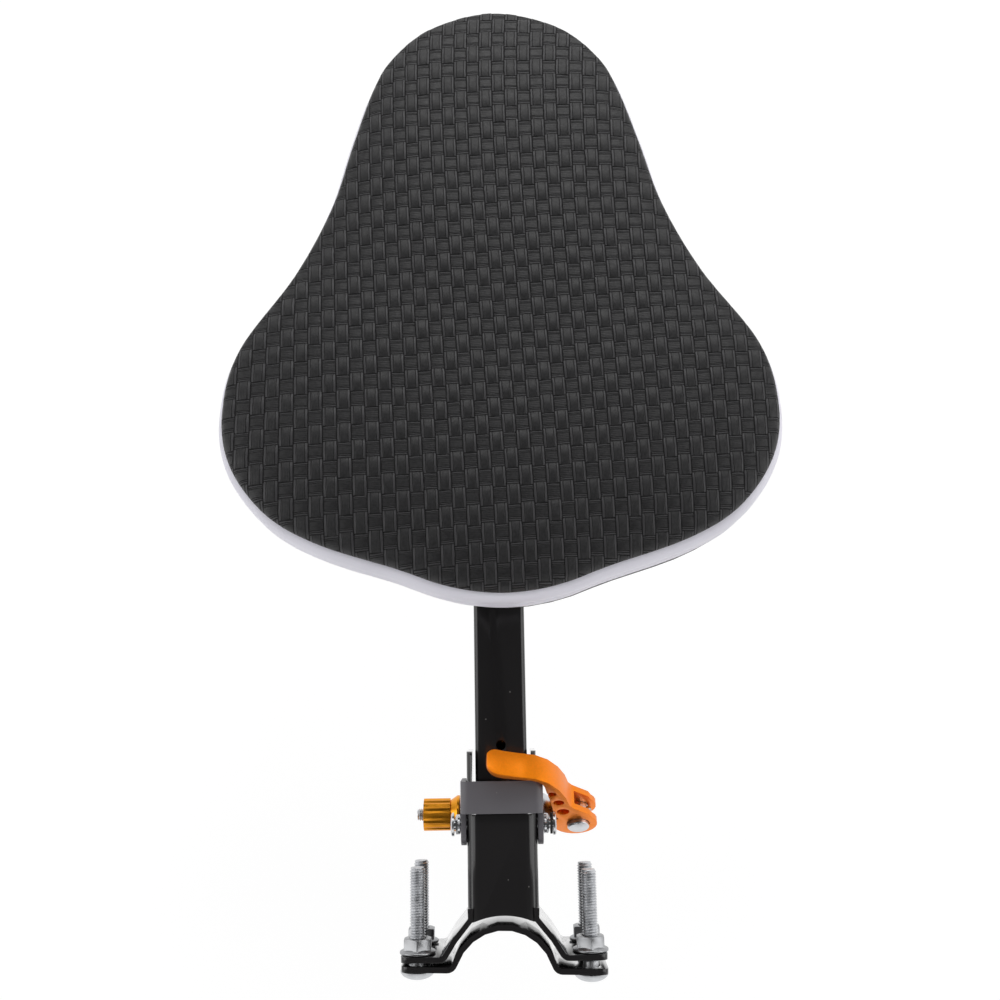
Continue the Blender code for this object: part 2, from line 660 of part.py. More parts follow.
def build_thumb_nut(material, parent):
    outer = -(THUMB_NUT_FACE + THUMB_NUT_LENGTH)
    flare_start = -(THUMB_NUT_FACE + THUMB_NUT_FLANGE_THICK + THUMB_NUT_FLARE)
    flange = -(THUMB_NUT_FACE + THUMB_NUT_FLANGE_THICK)
    root = THUMB_NUT_DIAMETER / 2 - THUMB_NUT_FLUTE_DEPTH
    fluted = []
    for flute in range(2 * THUMB_NUT_FLUTES):
        angle = math.pi * flute / THUMB_NUT_FLUTES
        radius = THUMB_NUT_DIAMETER / 2 if flute % 2 else root
        fluted.append((radius * math.cos(angle), radius * math.sin(angle)))
    nut = add_object("thumb_nut", prism("thumb_nut", fluted, "x", outer, flare_start), material, parent)
    neck = root - THUMB_NUT_FLUTE_DEPTH
    collar = [
        (0, flare_start - THUMB_NUT_FLARE), (neck, flare_start - THUMB_NUT_FLARE), (neck, flare_start),
        (THUMB_NUT_FLANGE / 2, flange), (THUMB_NUT_FLANGE / 2, -THUMB_NUT_FACE), (0, -THUMB_NUT_FACE),
    ]
    combine(nut, "UNION", turned("collar", collar, "x"))
    combine(nut, "DIFFERENCE", rod("bore", SKEWER + HOLE_CLEARANCE, "x", 2 * outer, 0))
    return nut


def build_cup_washer(material, parent):
    seat = CUP_WASHER_SEAT
    bore = (SKEWER + HOLE_CLEARANCE) / 2
    profile = [
        (bore, seat), (CUP_WASHER_DIAMETER / 2, seat), (CUP_WASHER_DIAMETER / 2, seat + CUP_WASHER_RIM),
        (CUP_WASHER_TOP / 2, seat + CUP_WASHER_HEIGHT), (bore, seat + CUP_WASHER_HEIGHT),
    ]
    add_object("cup_washer", turned("cup_washer", profile, "x", closed=True), material, parent)


def build_barrel_pin(material, parent):
    half = BARREL_PIN_LENGTH / 2
    straight = half - BARREL_PIN_CHAMFER
    radius = BARREL_PIN / 2
    end_radius = radius - BARREL_PIN_CHAMFER
    profile = [
        (0, -half), (end_radius, -half), (radius, -straight),
        (radius, straight), (end_radius, half), (0, half),
    ]
    pin = add_object("barrel_pin", turned("barrel_pin", profile, "y"), material, parent)
    combine(pin, "DIFFERENCE", rod("skewer_bore", SKEWER + HOLE_CLEARANCE, "x", -BARREL_PIN, BARREL_PIN))


def lever_outline():
    """Side view of the lever, round its pin: x away from the clamp, z along the lever."""
    centre = (CAM_OFFSET_ACROSS, CAM_OFFSET_ALONG)
    cam = arc(centre, CAM_RADIUS, CAM_START, CAM_END)
    return cam + list(LEVER_OUTSIDE) + list(LEVER_INSIDE) + [LEVER_NOTCH]


def fork_slot_outline():
    """The slot between the ears: open below and outside, round where the skewer's end turns."""
    far = 3 * CAM_RADIUS
    side = SKEWER / 2 + FORK_SLOT_EASE
    reach = math.hypot(BARREL_PIN / 2 + SKEWER_BEYOND_PIN, SKEWER / 2) + FORK_SLOT_EASE
    start = math.acos(FORK_CROTCH / reach)
    end = math.pi - math.asin(side / reach)
    corners = [(-far, -far), (far, -far), (far, far), (FORK_CROTCH, far)]
    return corners + arc((0, 0), reach, start, end) + [(-far, side)]


def build_cam_lever(material, parent):
    half = LEVER_WIDTH / 2
    outline = lever_outline()
    lever = add_object("cam_lever", prism("cam_lever", outline, "y", -half, half), material, parent)
    bore = BARREL_PIN + HOLE_CLEARANCE
    combine(lever, "DIFFERENCE", rod("pin_bore", bore, "y", -LEVER_WIDTH, LEVER_WIDTH))
    slot_half = half - LEVER_EAR
    combine(lever, "DIFFERENCE", prism("fork_slot", fork_slot_outline(), "y", -slot_half, slot_half))
    for x, z, diameter in LEVER_HOLES:
        hole = rod("lever_hole", diameter, "y", -LEVER_WIDTH, LEVER_WIDTH)
        combine(lever, "DIFFERENCE", moved(hole, (x, 0, z)))
    tip_x = LEVER_INSIDE[0][0]
    far = 2 * CAM_RADIUS
    body = [(tip_x, -half), (far, -half), (far, half), (tip_x, half)]
    tip = rounded(body, [LEVER_TIP_CORNER, 0, 0, LEVER_TIP_CORNER])
    combine(lever, "INTERSECT", prism("tip_outline", tip, "z", -2 * far, 4 * far))
    return lever


# Arm and saddle plate

def square_outline(size, corner, middle):
    return rounded(box_corners(size / 2, size / 2, middle), [corner] * 4)


def build_arm(material, parent):
    section = square_outline(ARM_SIZE, ARM_CORNER, ARM_MIDDLE)
    tube = prism("seat_arm", section, "y", ARM_REAR_END, ARM_FRONT_END)
    arm = add_object("seat_arm", tube, material, parent)
    bore_size = ARM_SIZE - 2 * ARM_WALL
    bore = square_outline(bore_size, ARM_CORNER - ARM_WALL, ARM_MIDDLE)
    combine(arm, "DIFFERENCE", prism("arm_bore", bore, "y", 0, 2 * ARM_FRONT_END))
    hole = rod("arm_hole", ARM_HOLE, "z", ARM_MIDDLE, CLAMP_DEPTH, 20)
    combine(arm, "DIFFERENCE", moved(hole, (0, CHEEK_TOP + ARM_HOLE_BEYOND_CHEEKS, 0)))
    return arm


def build_arm_plug(material, parent):
    """A plastic plug in the arm's front end; its flange is trimmed where the saddle plate passes."""
    inner = square_outline(ARM_SIZE - 2 * ARM_WALL - 2 * CONTACT_GAP, ARM_CORNER - ARM_WALL, ARM_MIDDLE)
    cap = square_outline(ARM_SIZE, ARM_CORNER, ARM_MIDDLE)
    face = ARM_FRONT_END + CONTACT_GAP
    flange = prism("arm_end_plug", cap, "y", face, face + PLUG_FLANGE)
    plug = add_object("arm_end_plug", flange, material, parent)
    combine(plug, "UNION", prism("plug_body", inner, "y", ARM_FRONT_END - PLUG_DEPTH, face + PLUG_FLANGE / 2))
    trim = box_corners(ARM_SIZE, 2 * PLUG_FLANGE, face + PLUG_FLANGE)
    combine(plug, "DIFFERENCE", prism("plug_trim", trim, "z", ARM_TOP - ARM_CORNER / 2, 2 * CLAMP_DEPTH))
    return plug


def plate_screw_places():
    half_length = PLATE_LENGTH / 2 - PLATE_SCREW_INSET
    half_width = PLATE_WIDTH / 2 - PLATE_SCREW_INSET
    return [
        (across * half_width, PLATE_MIDDLE_Y + along * half_length)
        for across in (-1, 1) for along in (-1, 1)
    ]


def build_saddle_plate(material, parent):
    outline = rounded(box_corners(PLATE_WIDTH / 2, PLATE_LENGTH / 2, PLATE_MIDDLE_Y), [PLATE_CORNER] * 4)
    sheet = prism("saddle_plate", outline, "z", PLATE_BOTTOM, PLATE_TOP)
    plate = add_object("saddle_plate", sheet, material, parent)
    for x, y in plate_screw_places():
        low, high = PLATE_BOTTOM - PLATE_SHEET, PLATE_TOP + PLATE_SHEET
        hole = rod("plate_hole", PLATE_SCREW + HOLE_CLEARANCE, "z", low, high)
        combine(plate, "DIFFERENCE", moved(hole, (x, y, 0)))
    return plate


def clamp_to_seat(y, z):
    """A point of the clamp's frame in the seat's frame, seen from the side."""
    return (
        y * math.cos(CLAMP_TILT) - z * math.sin(CLAMP_TILT),
        y * math.sin(CLAMP_TILT) + z * math.cos(CLAMP_TILT),
    )


def build_gussets(material, parent):
    low = ARM_TOP - GUSSET_OVERLAP
    front = ARM_FRONT_END - GUSSET_SETBACK
    rear = front - GUSSET_LENGTH
    top = PLATE_BOTTOM - CONTACT_GAP
    front_low = clamp_to_seat(front, low)
    rear_low = clamp_to_seat(rear, low)
    lean = GUSSET_OVERLAP / 2
    outline = [rear_low, front_low, (front_low[0] + lean, top), (rear_low[0] + lean, top)]
    inner = ARM_SIZE / 2 + CONTACT_GAP
    for side, sign in (("left", -1), ("right", 1)):
        edges = sorted((sign * inner, sign * (inner + GUSSET_THICK)))
        gusset = prism(f"saddle_gusset_{side}", outline, "x", *edges)
        add_object(f"saddle_gusset_{side}", gusset, material, parent)


def build_plate_screws(material, parent):
    seat = PLATE_BOTTOM - CONTACT_GAP
    low = seat - PLATE_SCREW_HEAD_HEIGHT
    radius = PLATE_SCREW_HEAD / 2
    tip = BASE_BOTTOM + PLATE_SCREW_GRIP
    profile = [
        (0, low), (PLATE_SCREW_FLAT / 2, low), (PLATE_SCREW_SHOULDER / 2, low + PLATE_SCREW_EDGE),
        (radius, seat), (PLATE_SCREW / 2, seat), (PLATE_SCREW / 2, tip - PLATE_SCREW_POINT), (0, tip),
    ]
    mesh = turned("plate_screw", profile, "z", 20)
    names = [f"plate_screw_{side}_{end}" for side in ("left", "right") for end in ("rear", "front")]
    for name, (x, y) in zip(names, plate_screw_places()):
        add_object(name, mesh, material, parent, (x, y, 0))


# Saddle

def smooth_curve(points, samples):
    """A smooth closed curve through a loop of points, at evenly shared steps."""
    count = len(points)
    curve = []
    for index in range(count):
        p0, p1, p2, p3 = (Vector(points[(index + step) % count]) for step in (-1, 0, 1, 2))
        for sample in range(samples):
            t = sample / samples
            curve.append(0.5 * (
                2 * p1 + (p2 - p0) * t + (2 * p0 - 5 * p1 + 4 * p2 - p3) * t ** 2
                + (3 * p1 - p0 - 3 * p2 + p3) * t ** 3
            ))
    return curve


def resample(curve, sides):
    """The curve's points at even distances round it."""
    lengths = [0.0]
    for index in range(len(curve)):
        lengths.append(lengths[-1] + (curve[(index + 1) % len(curve)] - curve[index]).length)
    result = []
    index = 0
    for side in range(sides):
        target = lengths[-1] * side / sides
        while lengths[index + 1] <= target:
            index += 1
        share = (target - lengths[index]) / (lengths[index + 1] - lengths[index])
        result.append(curve[index].lerp(curve[(index + 1) % len(curve)], share))
    return result


def saddle_outline():
    """The seam line, anticlockwise from the middle of the rear edge."""
    right = [(x * SADDLE_WIDTH / 2, SADDLE_REAR + y * SADDLE_LENGTH) for y, x in SADDLE_OUTLINE]
    left = [(-x, y) for x, y in right[-2:0:-1]]
    return resample(smooth_curve(right + left, CURVE_SAMPLES), OUTLINE_SIDES)


def offset_outline(outline, distance):
    """The outline moved outwards, or inwards where the distance is negative."""
    moved_points = []
    count = len(outline)
    for index, point in enumerate(outline):
        along = (outline[(index + 1) % count] - outline[index - 1]).normalized()
        moved_points.append(point + Vector((along.y, -along.x)) * distance)
    return moved_points


def edge_distance(outline, angle):
    """How far the outline lies from the saddle's centre in a direction."""
    direction = Vector((math.cos(angle), math.sin(angle)))
    best = 0.0
    for index, start in enumerate(outline):
        end = outline[(index + 1) % len(outline)]
        edge = end - start
        cross = direction.cross(edge)
        if abs(cross) < 1e-12:
            continue
        to_start = start - SADDLE_CENTRE
        share = to_start.cross(direction) / cross
        reach = to_start.cross(edge) / cross
        if -1e-9 <= share <= 1 + 1e-9 and reach > best:
            best = reach
    return best


def crown_height(share, y):
    """Height of the cushion over the seam, at a share of the way out to its rim."""
    share = min(share, 1.0)
    along = (y - SADDLE_REAR) / SADDLE_LENGTH
    dip = SADDLE_DIP * math.sin(math.pi * min(max(along, 0), 1)) * (1 - share ** 2)
    dome = (1 - share ** DOME_FULLNESS) ** DOME_SHOULDER
    return EDGE_ROLL + (CROWN - EDGE_ROLL) * dome - dip


def domed_solid(name, outline, bottom, lowering, shares):
    """A closed cushion shape on an outline: rings up the dome, closed at the crown."""
    bm = bmesh.new()
    rings = [[bm.verts.new((p.x, p.y, bottom)) for p in outline]]
    for share in shares:
        points = [SADDLE_CENTRE + (p - SADDLE_CENTRE) * share for p in outline]
        rings.append([
            bm.verts.new((p.x, p.y, SEAM_HEIGHT + crown_height(share, p.y) - lowering)) for p in points
        ])
    count = len(outline)
    for lower, upper in zip(rings, rings[1:]):
        for side in range(count):
            after = (side + 1) % count
            bm.faces.new((lower[side], lower[after], upper[after], upper[side]))
    centre_z = SEAM_HEIGHT + crown_height(0, SADDLE_CENTRE.y) - lowering
    top = bm.verts.new((SADDLE_CENTRE.x, SADDLE_CENTRE.y, centre_z))
    for side in range(count):
        bm.faces.new((rings[-1][side], rings[-1][(side + 1) % count], top))
    bm.faces.new(rings[0][::-1])
    return mesh_from(bm, name)


def build_foam(material, parent, outline):
    inset = offset_outline(outline, -(BAND_THICK + CONTACT_GAP))
    lowering = COVER_THICK + COVER_EASE
    mesh = domed_solid("saddle_foam", inset, FOAM_BOTTOM, lowering, DOME_SHARES)
    add_object("saddle_foam", mesh, material, parent)


def weave_slab(outline):
    """A slab whose top is the woven crown: raised blocks in every other cell of a grid."""
    columns = math.ceil(SADDLE_WIDTH / 2 / WEAVE_ACROSS) + 1
    rows = math.ceil(SADDLE_LENGTH / WEAVE_ALONG) + 2
    reaches = [edge_distance(outline, math.radians(step)) for step in range(360)]

    def height(x, y):
        offset = Vector((x, y)) - SADDLE_CENTRE
        angle = math.degrees(math.atan2(offset.y, offset.x)) % 360
        first = int(angle) % 360
        reach = reaches[first] + (reaches[(first + 1) % 360] - reaches[first]) * (angle - int(angle))
        return SEAM_HEIGHT + crown_height(offset.length / reach, y)

    bm = bmesh.new()
    grid = []
    for row in range(rows + 1):
        y = SADDLE_REAR + (row - 1) * WEAVE_ALONG
        grid.append([
            bm.verts.new((column * WEAVE_ACROSS, y, height(column * WEAVE_ACROSS, y)))
            for column in range(-columns, columns + 1)
        ])
    for row in range(rows):
        for column in range(2 * columns):
            corners = grid[row][column:column + 2] + grid[row + 1][column:column + 2][::-1]
            if (row + column) % 2:
                bm.faces.new(corners)
                continue
            middle = sum((corner.co for corner in corners), Vector()) / 4
            peak = bm.verts.new((middle.x, middle.y, middle.z + WEAVE_RELIEF))
            for side in range(4):
                bm.faces.new((corners[side], corners[(side + 1) % 4], peak))
    bmesh.ops.triangulate(bm, faces=[face for face in bm.faces if len(face.verts) == 4])
    rim = [edge for edge in bm.edges if edge.is_boundary]
    skirt = bmesh.ops.extrude_edge_only(bm, edges=rim)
    lower = [item for item in skirt["geom"] if isinstance(item, bmesh.types.BMVert)]
    for vert in lower:
        vert.co.z = SEAM_HEIGHT
    bmesh.ops.contextual_create(bm, geom=[edge for edge in bm.edges if edge.is_boundary])
    return mesh_from(bm, "weave_slab")


def build_cover(material, parent, outline):
    cover = add_object("saddle_cover", weave_slab(outline), material, parent)
    footprint = [tuple(point) for point in outline]
    combine(cover, "INTERSECT", prism("cover_outline", footprint, "z", 0, 2 * SEAM_HEIGHT))
    inner = offset_outline(outline, -COVER_THICK)
    hollow = domed_solid("cover_hollow", inner, FOAM_BOTTOM, COVER_THICK, DOME_SHARES)
    combine(cover, "DIFFERENCE", hollow)


def build_band(material, parent, outline):
    """The side band: a ring with a bulged outer face and a straight inner one."""
    top = SEAM_HEIGHT - CONTACT_GAP
    profile = [(0.0, top)]
    for share, bulge in BAND_PROFILE:
        profile.append((BAND_BULGE * bulge, top - BAND_HEIGHT * share))
    profile.append((-BAND_THICK, top - BAND_HEIGHT))
    profile.append((-BAND_THICK, top))
    bm = bmesh.new()
    rings = []
    for distance, z in profile:
        rings.append([bm.verts.new((p.x, p.y, z)) for p in offset_outline(outline, distance)])
    count = len(outline)
    for index, lower in enumerate(rings):
        upper = rings[(index + 1) % len(rings)]
        for side in range(count):
            after = (side + 1) % count
            bm.faces.new((lower[side], lower[after], upper[after], upper[side]))
    add_object("saddle_side_band", mesh_from(bm, "saddle_side_band"), material, parent)


def build_base(material, parent, outline):
    footprint = [(x + BASE_SHIFT, y) for x, y in offset_outline(outline, -BASE_INSET)]
    board = prism("saddle_base", footprint, "z", BASE_BOTTOM, BASE_TOP)
    base = add_object("saddle_base", board, material, parent)
    bevelled(base, BASE_EDGE, segments=1)
    for x, y in plate_screw_places():
        x -= SADDLE_SHIFT
        top = BASE_BOTTOM + PLATE_SCREW_GRIP + CONTACT_GAP
        hole = rod("base_hole", PLATE_SCREW + HOLE_CLEARANCE, "z", BASE_BOTTOM - BASE_THICK, top, 20)
        combine(base, "DIFFERENCE", moved(hole, (x, y, 0)))
    return base


# The whole seat

def main():
    clear_scene()
    black_paint = make_material("black_paint", (0.012, 0.011, 0.012), 0.32)
    grey_paint = make_material("grey_paint", (0.10, 0.098, 0.105), 0.48)
    zinc = make_material("zinc_plate", (0.72, 0.73, 0.74), 0.30, 1.0)
    anodised = make_material("orange_anodised", (0.85, 0.22, 0.015), 0.30, 0.85)
    gold = make_material("gold_anodised", (0.90, 0.36, 0.03), 0.30, 0.85)
    black_rubber = make_material("black_rubber", (0.015, 0.015, 0.015), 0.7)
    woven_cover = make_material("woven_cover", (0.020, 0.020, 0.021), 0.55)
    white_band = make_material("white_band", (0.76, 0.75, 0.85), 0.45)
    black_board = make_material("black_board", (0.018, 0.017, 0.018), 0.6)
    foam = make_material("foam", (0.75, 0.70, 0.58), 0.9)

    clamp = add_empty("clamp_frame", rotation=(CLAMP_TILT, 0, 0))
    build_bracket(black_paint, clamp)
    build_lower_plate(black_paint, clamp)
    build_yoke(grey_paint, clamp)
    build_clamp_bolts(zinc, clamp)
    build_flange_nuts(zinc, clamp)
    build_side_screws(zinc, black_rubber, clamp)

    skewer = add_empty("skewer_axis", (0, SKEWER_Y, SKEWER_Z), parent=clamp)
    build_skewer(zinc, skewer)
    build_nut_washer(zinc, skewer)
    build_thumb_nut(gold, skewer)
    build_cup_washer(zinc, skewer)
    pivot = add_empty("lever_pivot", (PIN_X, 0, 0), (-LEVER_TILT, 0, 0), skewer)
    build_barrel_pin(zinc, pivot)
    build_cam_lever(anodised, pivot)

    arm_axis = add_empty("arm_axis", parent=clamp)
    build_arm(black_paint, arm_axis)
    build_arm_plug(black_rubber, arm_axis)
    seat = add_empty("seat_frame")
    build_saddle_plate(black_paint, seat)
    build_gussets(black_paint, seat)
    build_plate_screws(zinc, seat)
    saddle = add_empty("saddle_frame", (SADDLE_SHIFT, 0, 0), parent=seat)
    outline = saddle_outline()
    build_base(black_board, saddle, outline)
    build_foam(foam, saddle, outline)
    build_band(white_band, saddle, outline)
    build_cover(woven_cover, saddle, outline)
    bpy.context.view_layer.update()


main()
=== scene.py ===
"""Looks of the child bike seat: woven cushion, white band, threads, finishes, stage and camera."""

import contextlib
import json
import math

import bpy
import numpy as np
from mathutils import Matrix, Vector, noise

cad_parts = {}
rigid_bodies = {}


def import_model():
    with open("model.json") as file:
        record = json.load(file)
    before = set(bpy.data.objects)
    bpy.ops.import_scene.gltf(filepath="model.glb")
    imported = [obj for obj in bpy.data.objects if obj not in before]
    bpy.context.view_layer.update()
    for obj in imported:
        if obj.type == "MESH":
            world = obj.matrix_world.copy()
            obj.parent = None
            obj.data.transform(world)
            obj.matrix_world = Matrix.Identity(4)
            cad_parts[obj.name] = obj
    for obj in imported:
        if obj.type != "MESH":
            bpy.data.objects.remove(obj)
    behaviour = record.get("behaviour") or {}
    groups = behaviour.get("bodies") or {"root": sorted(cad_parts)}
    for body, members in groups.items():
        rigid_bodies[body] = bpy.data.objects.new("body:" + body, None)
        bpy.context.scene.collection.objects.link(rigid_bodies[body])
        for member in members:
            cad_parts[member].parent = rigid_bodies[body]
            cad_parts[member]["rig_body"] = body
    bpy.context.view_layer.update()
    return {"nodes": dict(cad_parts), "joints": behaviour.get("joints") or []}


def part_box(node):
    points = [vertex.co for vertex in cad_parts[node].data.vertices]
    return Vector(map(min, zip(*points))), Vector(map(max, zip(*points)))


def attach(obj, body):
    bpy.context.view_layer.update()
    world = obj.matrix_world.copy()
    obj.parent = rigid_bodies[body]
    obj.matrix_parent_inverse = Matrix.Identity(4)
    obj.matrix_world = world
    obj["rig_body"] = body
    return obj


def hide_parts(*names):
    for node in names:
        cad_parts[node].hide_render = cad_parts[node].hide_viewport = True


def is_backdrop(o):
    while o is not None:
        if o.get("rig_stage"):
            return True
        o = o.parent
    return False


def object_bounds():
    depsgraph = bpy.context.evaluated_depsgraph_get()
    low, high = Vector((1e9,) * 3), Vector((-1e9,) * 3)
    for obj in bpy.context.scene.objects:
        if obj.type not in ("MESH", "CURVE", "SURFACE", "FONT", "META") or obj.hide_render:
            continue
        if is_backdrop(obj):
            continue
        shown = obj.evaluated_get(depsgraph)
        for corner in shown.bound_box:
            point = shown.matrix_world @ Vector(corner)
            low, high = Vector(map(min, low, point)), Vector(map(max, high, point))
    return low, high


bl_info = {
    "name": "Child Bike Seat",
    "version": (1, 0, 0),
    "blender": (4, 5, 0),
    "location": "3D View > Sidebar > Seat",
    "description": "Dresses the packed child bike seat with its cushion, threads and finishes",
    "category": "Object",
}

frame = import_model()


def joint(name):
    return next(j for j in frame["joints"] if j["name"] == name)


def node_points(node):
    return np.array([v.co for v in frame["nodes"][node].data.vertices], float)


def turned_frame(across, forward):
    """A frame with its x and y along two directions, and its z square to them."""
    x = Vector(across).normalized()
    y = Vector(forward).normalized()
    return Matrix((x, y, x.cross(y))).transposed().to_4x4()


CLAMP = turned_frame((1, 0, 0), joint("arm_slide")["axis"])
SKEWER = Matrix.Translation(joint("skewer_swivel")["pos_m"]) @ CLAMP
ALONG_X = Matrix.Rotation(math.radians(90), 4, "Y")
ALONG_Y = Matrix.Rotation(math.radians(-90), 4, "X")


def local_box(node, place):
    """Lowest and highest corner of a node in another frame."""
    back = np.array(place.inverted())
    points = node_points(node) @ back[:3, :3].T + back[:3, 3]
    return points.min(0), points.max(0)


# Sizes and colours that a user would change

def length(name, description, default):
    return bpy.props.FloatProperty(
        name=name, description=description, default=default, unit="LENGTH", precision=5
    )


def share(name, description, default):
    return bpy.props.FloatProperty(name=name, description=description, default=default, min=0, max=1)


def colour(name, description, default):
    return bpy.props.FloatVectorProperty(
        name=name, description=description, default=default, subtype="COLOR", size=3, min=0, max=1
    )


class CushionSettings(bpy.types.PropertyGroup):
    crown: length("Crown", "Height of the cushion's middle over its seam", 0.015)
    rim: length("Rim", "Height at which the cover starts to roll over its edge", 0.003)
    dip: length("Dip", "Hollow along the saddle's middle", 0.0025)
    roll: length("Roll", "Width of the rolled edge", 0.0016)
    relief: length("Relief", "Height of the woven blocks in the mesh", 0.0007)
    strand_relief: length("Strand relief", "Height of strands and block edges in the bump", 0.0007)
    tint: colour("Colour", "Black of the cover", (0.0136, 0.0132, 0.0142))


class BandSettings(bpy.types.PropertyGroup):
    bulge: length("Bulge", "How far the band stands out from the seam", 0.0023)
    crease: share("Crease", "Share of the band's height at which it is creased", 0.54)
    tint: colour("Colour", "White of the band", (0.89, 0.875, 0.96))


class MetalSettings(bpy.types.PropertyGroup):
    edge: length("Edge", "Rounding of cut sheet edges", 0.0003)
    thread_pitch: length("Thread pitch", "Pitch of the clamp bolts", 0.001)
    thread_depth: length("Thread depth", "Depth of the clamp bolts' thread", 0.00055)
    black: colour("Black paint", "Gloss black of the arm and the clamp", (0.0105, 0.0096, 0.0102))
    grey: colour("Grey paint", "Satin grey of the yoke strap", (0.122, 0.117, 0.128))
    zinc: colour("Zinc", "Plating of bolts, nuts and screws", (0.70, 0.71, 0.73))
    orange: colour("Orange", "Anodised cam lever", (1.0, 0.27, 0.008))
    gold: colour("Gold", "Anodised thumb nut", (0.93, 0.37, 0.02))


class StageSettings(bpy.types.PropertyGroup):
    floor_drop: length("Floor drop", "Floor below the seat's lowest point", 0.10)
    key: bpy.props.FloatProperty(name="Key", description="Power of the main light in watts", default=11.0)
    fill: bpy.props.FloatProperty(name="Fill", description="Power of each side light in watts", default=5.5)
    lens: bpy.props.FloatProperty(name="Lens", description="Focal length in millimetres", default=38.88)


# Selecting and finishing pieces

MERGE = 0.000002

def deselect_all():
    if bpy.context.object is not None and bpy.context.object.mode != "OBJECT":
        bpy.ops.object.mode_set(mode="OBJECT")
    bpy.ops.object.select_all(action="DESELECT")


def make_active(piece):
    deselect_all()
    piece.select_set(True)
    bpy.context.view_layer.objects.active = piece
    return piece


def added(name):
    """Takes the primitive that was just added under a name of its own."""
    piece = bpy.context.object
    piece.name = name
    piece.data.name = name
    return piece


def linked(name, data):
    """Puts a mesh in the scene as the active object."""
    piece = bpy.data.objects.new(name, data)
    bpy.context.collection.objects.link(piece)
    return make_active(piece)


@contextlib.contextmanager
def whole_mesh_edited(piece):
    """Edit mode with the piece's whole mesh selected."""
    make_active(piece)
    bpy.ops.object.mode_set(mode="EDIT")
    bpy.ops.mesh.select_all(action="SELECT")
    yield
    bpy.ops.object.mode_set(mode="OBJECT")


def settle(piece, place=Matrix.Identity(4)):
    """Moves the object's place into its mesh, so that it sits at the origin."""
    bpy.context.view_layer.update()
    piece.data.transform(place @ piece.matrix_world)
    piece.matrix_world = Matrix.Identity(4)
    return piece


def apply_modifier(piece, modifier):
    make_active(piece)
    bpy.ops.object.modifier_apply(modifier=modifier.name)


def round_edges(piece, width, segments=2, limit=35):
    modifier = piece.modifiers.new("Rounded edges", "BEVEL")
    modifier.width = width
    modifier.segments = segments
    modifier.limit_method = "ANGLE"
    modifier.angle_limit = math.radians(limit)
    modifier.miter_outer = "MITER_ARC"
    apply_modifier(piece, modifier)


def cut(piece, tool, operation="DIFFERENCE"):
    modifier = piece.modifiers.new(operation.title(), "BOOLEAN")
    modifier.operation = operation
    modifier.solver = "EXACT"
    modifier.object = tool
    apply_modifier(piece, modifier)
    bpy.data.objects.remove(tool, do_unlink=True)
    return piece


def joined(name, pieces):
    make_active(pieces[0])
    for piece in pieces[1:]:
        piece.select_set(True)
    bpy.ops.object.join()
    return added(name)


def shade(piece, limit=38):
    make_active(piece)
    bpy.ops.object.shade_smooth_by_angle(angle=math.radians(limit))


def hand_over(piece, node, slot, finish=None, nodes=()):
    """Gives a piece its finish, and lets it stand for its CAD node and ride on the node's body."""
    piece.data.materials.clear()
    piece.data.materials.append(finish_named(finish or slot))
    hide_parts(*(nodes or [node]))
    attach(piece, frame["nodes"][node]["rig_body"])


def repaint(node, finish):
    """Gives a CAD node that keeps its shape a better material."""
    data = frame["nodes"][node].data
    if not data.materials:
        data.materials.append(None)
    for index in range(len(data.materials)):
        data.materials[index] = finish_named(finish)


def refine(node, slot, width, segments=2, limit=40, shading=38):
    """Stands a copy with rounded corners in for a CAD node."""
    piece = linked(f"{node}_finished", frame["nodes"][node].data.copy())
    with whole_mesh_edited(piece):
        bpy.ops.mesh.customdata_custom_splitnormals_clear()
        bpy.ops.mesh.remove_doubles(threshold=0.00001)
        bpy.ops.mesh.dissolve_limited(angle_limit=math.radians(0.5))
    round_edges(piece, width, segments, limit)
    shade(piece, shading)
    hand_over(piece, node, slot)


def place_piece(piece, place, node, finish="zinc_plate", shading=42):
    """Puts a plated piece where it belongs, and lets it stand for its node."""
    settle(piece, place)
    shade(piece, shading)
    hand_over(piece, node, "zinc_plate", finish)


def screwed(name, profile, pitch=0.0, turns=1, steps=32):
    """A profile of (radius, height) turned about z, or wound along it at a pitch."""
    data = bpy.data.meshes.new(name)
    edges = [(index, index + 1) for index in range(len(profile) - 1)]
    data.from_pydata([(radius, 0, height) for radius, height in profile], edges, [])
    piece = linked(name, data)
    modifier = piece.modifiers.new("Screw", "SCREW")
    modifier.axis = "Z"
    modifier.steps = modifier.render_steps = steps
    modifier.screw_offset = pitch
    modifier.iterations = turns
    modifier.use_merge_vertices = True
    modifier.merge_threshold = MERGE
    apply_modifier(piece, modifier)
    with whole_mesh_edited(piece):
        bpy.ops.mesh.remove_doubles(threshold=MERGE)
        bpy.ops.mesh.normals_make_consistent(inside=False)
    return piece


def sliced(piece, height, keep_below):
    """Cuts a piece flat at a height and closes the cut."""
    with whole_mesh_edited(piece):
        bpy.ops.mesh.bisect(
            plane_co=(0, 0, height), plane_no=(0, 0, 1), use_fill=True,
            clear_outer=keep_below, clear_inner=not keep_below, threshold=0.000001,
        )


